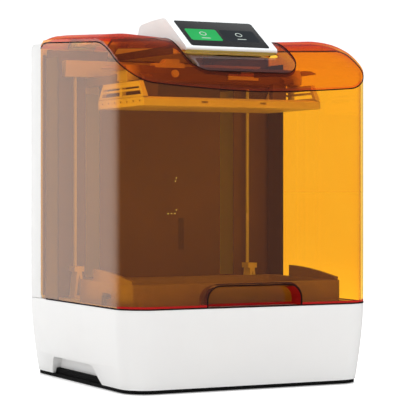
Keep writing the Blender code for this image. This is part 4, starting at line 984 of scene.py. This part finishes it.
def vat():
    """Tub with a tapered well, two fins on its rim and a ledge for each clamp."""
    half, front, rear, low, rim = VAT_HIGH.x, VAT_LOW.y, VAT_HIGH.y, VAT_LOW.z, 0.1137
    tub = prism("vat_body", rounded(-half, half, front, rear, 0.010), "Z", low, rim, [GUNMETAL])
    for side in (-1, 1):
        reach = span(side, 0.1225, half - 0.0002)
        carve(tub, prism("fin", vat_fin_outline(), "X", *reach, [GUNMETAL]), operation="UNION")
    mid, clamp_y = -0.0308, sum(corner.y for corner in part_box("vat_clamp_left")) / 2
    well = [placed(rounded(-wide, wide, mid - deep, mid + deep, 0.010), "Z", z)
            for wide, deep, z in ((0.1120, 0.0650, low - 0.001), (0.1175, 0.0720, rim + 0.0005))]
    tools = [loft("well", well, [GUNMETAL])]
    for side in (-1, 1):
        ledge = rounded(*span(side, 0.1200, 0.1300), clamp_y - 0.011, clamp_y + 0.011, 0.0012, segments=3)
        tools.append(prism("ledge", ledge, "Z", 0.0950, 0.1020, [GUNMETAL]))
    carve(tub, *tools)
    put(round_edges(tub, 0.0007, 3), "bed", "black_plastic", "vat_tub")


def liner_marks():
    """Shallow lines, pinhead lamps and one upright slot on the liner; the slot is a flat dark patch, painted
    shade in place of its opening.
    """
    marks = (LINER_FACE_Y - 0.0003, LINER_FACE_Y)
    for count, height in enumerate((0.2322, 0.2230, 0.1924, 0.1861, 0.1811)):
        line = rounded(-0.0067, 0.0143, height - 0.0003, height + 0.0003, 0.0002, segments=2)
        piece = prism("liner_line_%d" % count, line, "Y", *marks, [DARK_LINE])
        put(smooth(piece), "frame", "black_plastic")
    lamps = ((0.0200, 0.2287), (0.0189, 0.2249), (0.0200, 0.1906), (0.0182, 0.1863), (0.0136, 0.1863),
             (0.0090, 0.1861))
    steps = ((0.0008, LINER_FACE_Y), (0.0007, LINER_FACE_Y - 0.0004), (0.0004, LINER_FACE_Y - 0.0006))
    for count, (x, z) in enumerate(lamps):
        lamp = turned("liner_lamp_%d" % count, (x, z), "Y", steps, [ICON_WHITE], 16)
        put(smooth(lamp), "frame", "black_plastic")
    # Painted shade: a flat dark patch stands for the shade inside the upright slot.
    slot = rounded(0.0228, 0.0300, 0.1433, 0.1811, 0.0005, segments=3)
    put(smooth(prism("liner_slot_shade", slot, "Y", *marks, [DARK_LINE])), "frame", "black_plastic")


def dress_cad_nodes():
    """Each CAD node gets its slot's look; those that stay visible get welded vertices and fine bevels."""
    looks = {part["node"]: SLOT_LOOKS[part["material_slot"]] for part in frame["record"]["subparts"]}
    # The liner, the platform arm and the release levers take the looks with painted shade.
    looks.update(rear_liner=LINER_SHADED_ENDS, platform_frame=ARM_METAL_SHADED, release_lever_left=GRIP_METAL_SHADED,
                 release_lever_right=GRIP_METAL_SHADED)
    for name, node in frame["nodes"].items():
        node.data.materials.clear()
        node.data.materials.append(looks[name])
        if node.hide_render:
            continue
        node.data.shade_smooth()
        weld = node.modifiers.new("weld", "WELD")
        weld.merge_threshold = 0.00001
        add_bevel(node, 0.00035, 2, 40)
        node.modifiers.new("shade", "WEIGHTED_NORMAL")


# ---- stage ----
def floor():
    """Plain pale ground far wider than the view. The camera sees it as bright as the backdrop."""
    n = Look("floor_look")
    tone = n.blend(n.spread(n.noise(3.0, 3.0), 0.0, 1.0), rgba((0.93, 0.93, 0.93)), rgba((0.91, 0.91, 0.91)))
    seen = n.add("LightPath").outputs["Is Camera Ray"]
    shader = n.add("BsdfPrincipled", {
        "Base Color": tone, "Roughness": 0.6, "Specular IOR Level": 0.0, "Emission Color": (1, 1, 1, 1),
        "Emission Strength": n.math("MULTIPLY", seen, 0.32)}).outputs[0]
    far = 90
    corners = [(-far, -far, 0), (far, -far, 0), (far, far, 0), (-far, far, 0)]
    ground = new_object("floor", corners, [(0, 1, 2, 3)], [n.finished(shader)])
    if ground.data.polygons[0].normal.z < 0:
        ground.data.flip_normals()
    ground.visible_glossy = False


def world():
    """White to the camera. Mirror rays meet two bright panels behind the object and a dim studio."""
    made = bpy.data.worlds.new("studio")
    made.use_nodes = True
    made.node_tree.nodes.clear()
    n = Nodes(made.node_tree)
    direction = n.add("TexCoord").outputs["Generated"]
    panels = []
    for aim_x, start, end, level in ((-0.45, 0.78, 0.97, 1.30), (0.45, 0.93, 0.99, 0.9)):
        aim = (aim_x, 0.893, 0.0)
        toward = n.add("VectorMath", {0: direction, 1: aim}, operation="DOT_PRODUCT")
        panels.append(n.ramp(toward.outputs["Value"], start, end, 0.0, level))
    height = n.add("SeparateXYZ", {0: direction}).outputs["Z"]
    near_horizon = n.ramp(n.math("ABSOLUTE", height), 0.15, 0.45, 1.0, 0.0)
    dim = n.ramp(height, 0.3, 0.8, 0.30, 0.13)
    mirror = n.math("ADD", n.math("MULTIPLY", n.math("ADD", *panels), near_horizon), dim)
    path = n.add("LightPath")
    soft = n.math("ADD", n.math("MULTIPLY", path.outputs["Is Camera Ray"], CAMERA_EXTRA), WORLD_LIGHT)
    strength = n.add("Mix", {0: path.outputs["Is Glossy Ray"], 2: soft, 3: mirror}, data_type="FLOAT")
    shade = n.add("Background", {"Color": (1, 1, 1, 1), "Strength": strength.outputs[0]})
    out = n.add("OutputWorld")
    n.feed(out.inputs["Surface"], shade.outputs[0])
    bpy.context.scene.world = made


def soft_light(name, place, aim, size, watts):
    data = bpy.data.lights.new(name, "AREA")
    data.shape = "RECTANGLE"
    data.size, data.size_y = size
    data.energy = watts
    lamp = bpy.data.objects.new(name, data)
    lamp.location = place
    lamp.rotation_mode = "QUATERNION"
    lamp.rotation_quaternion = (Vector(aim) - Vector(place)).to_track_quat("-Z", "Y")
    lamp.visible_camera = False
    lamp.visible_glossy = False
    bpy.context.scene.collection.objects.link(lamp)


def lights():
    soft_light("key", (-1.8, -0.7, 1.2), (0, 0, 0.15), (1.4, 1.4), 5)
    soft_light("top", (0.2, 0.2, 2.0), (0, 0, 0.2), (1.8, 1.8), 24)
    soft_light("fill", (0.9, -1.9, 0.9), (0, 0, 0.2), (1.2, 1.2), 2.5)


def camera():
    """Level camera left of the front, with the horizon just above the middle of the frame."""
    frame_width, focal = 405.0, 1772.9
    horizon_rise = 11.0
    data = bpy.data.cameras.new("camera")
    data.sensor_width = 36.0
    data.lens = focal / frame_width * data.sensor_width
    data.shift_y = -horizon_rise / frame_width
    eye = bpy.data.objects.new("camera", data)
    eye.location = (-0.9032, -1.8069, 0.2155)
    eye.rotation_euler = (math.radians(90), 0, math.radians(-26.74))
    bpy.context.scene.collection.objects.link(eye)
    bpy.context.scene.camera = eye


# ---- assembly ----
for piece in (base, shadow_tray, housing, head, head_gold_line, screen):
    piece()
for piece in (cover_walls, pocket_line, visor, scoop, wall_lines, opening_line):
    piece()
stay_rods()
build_plate()
truss("left")
truss("right")
platform_latches()
vat()
liner_marks()
dress_cad_nodes()
for part in (floor, world, lights, camera):
    part()
bpy.context.scene.view_settings.view_transform = "Standard"
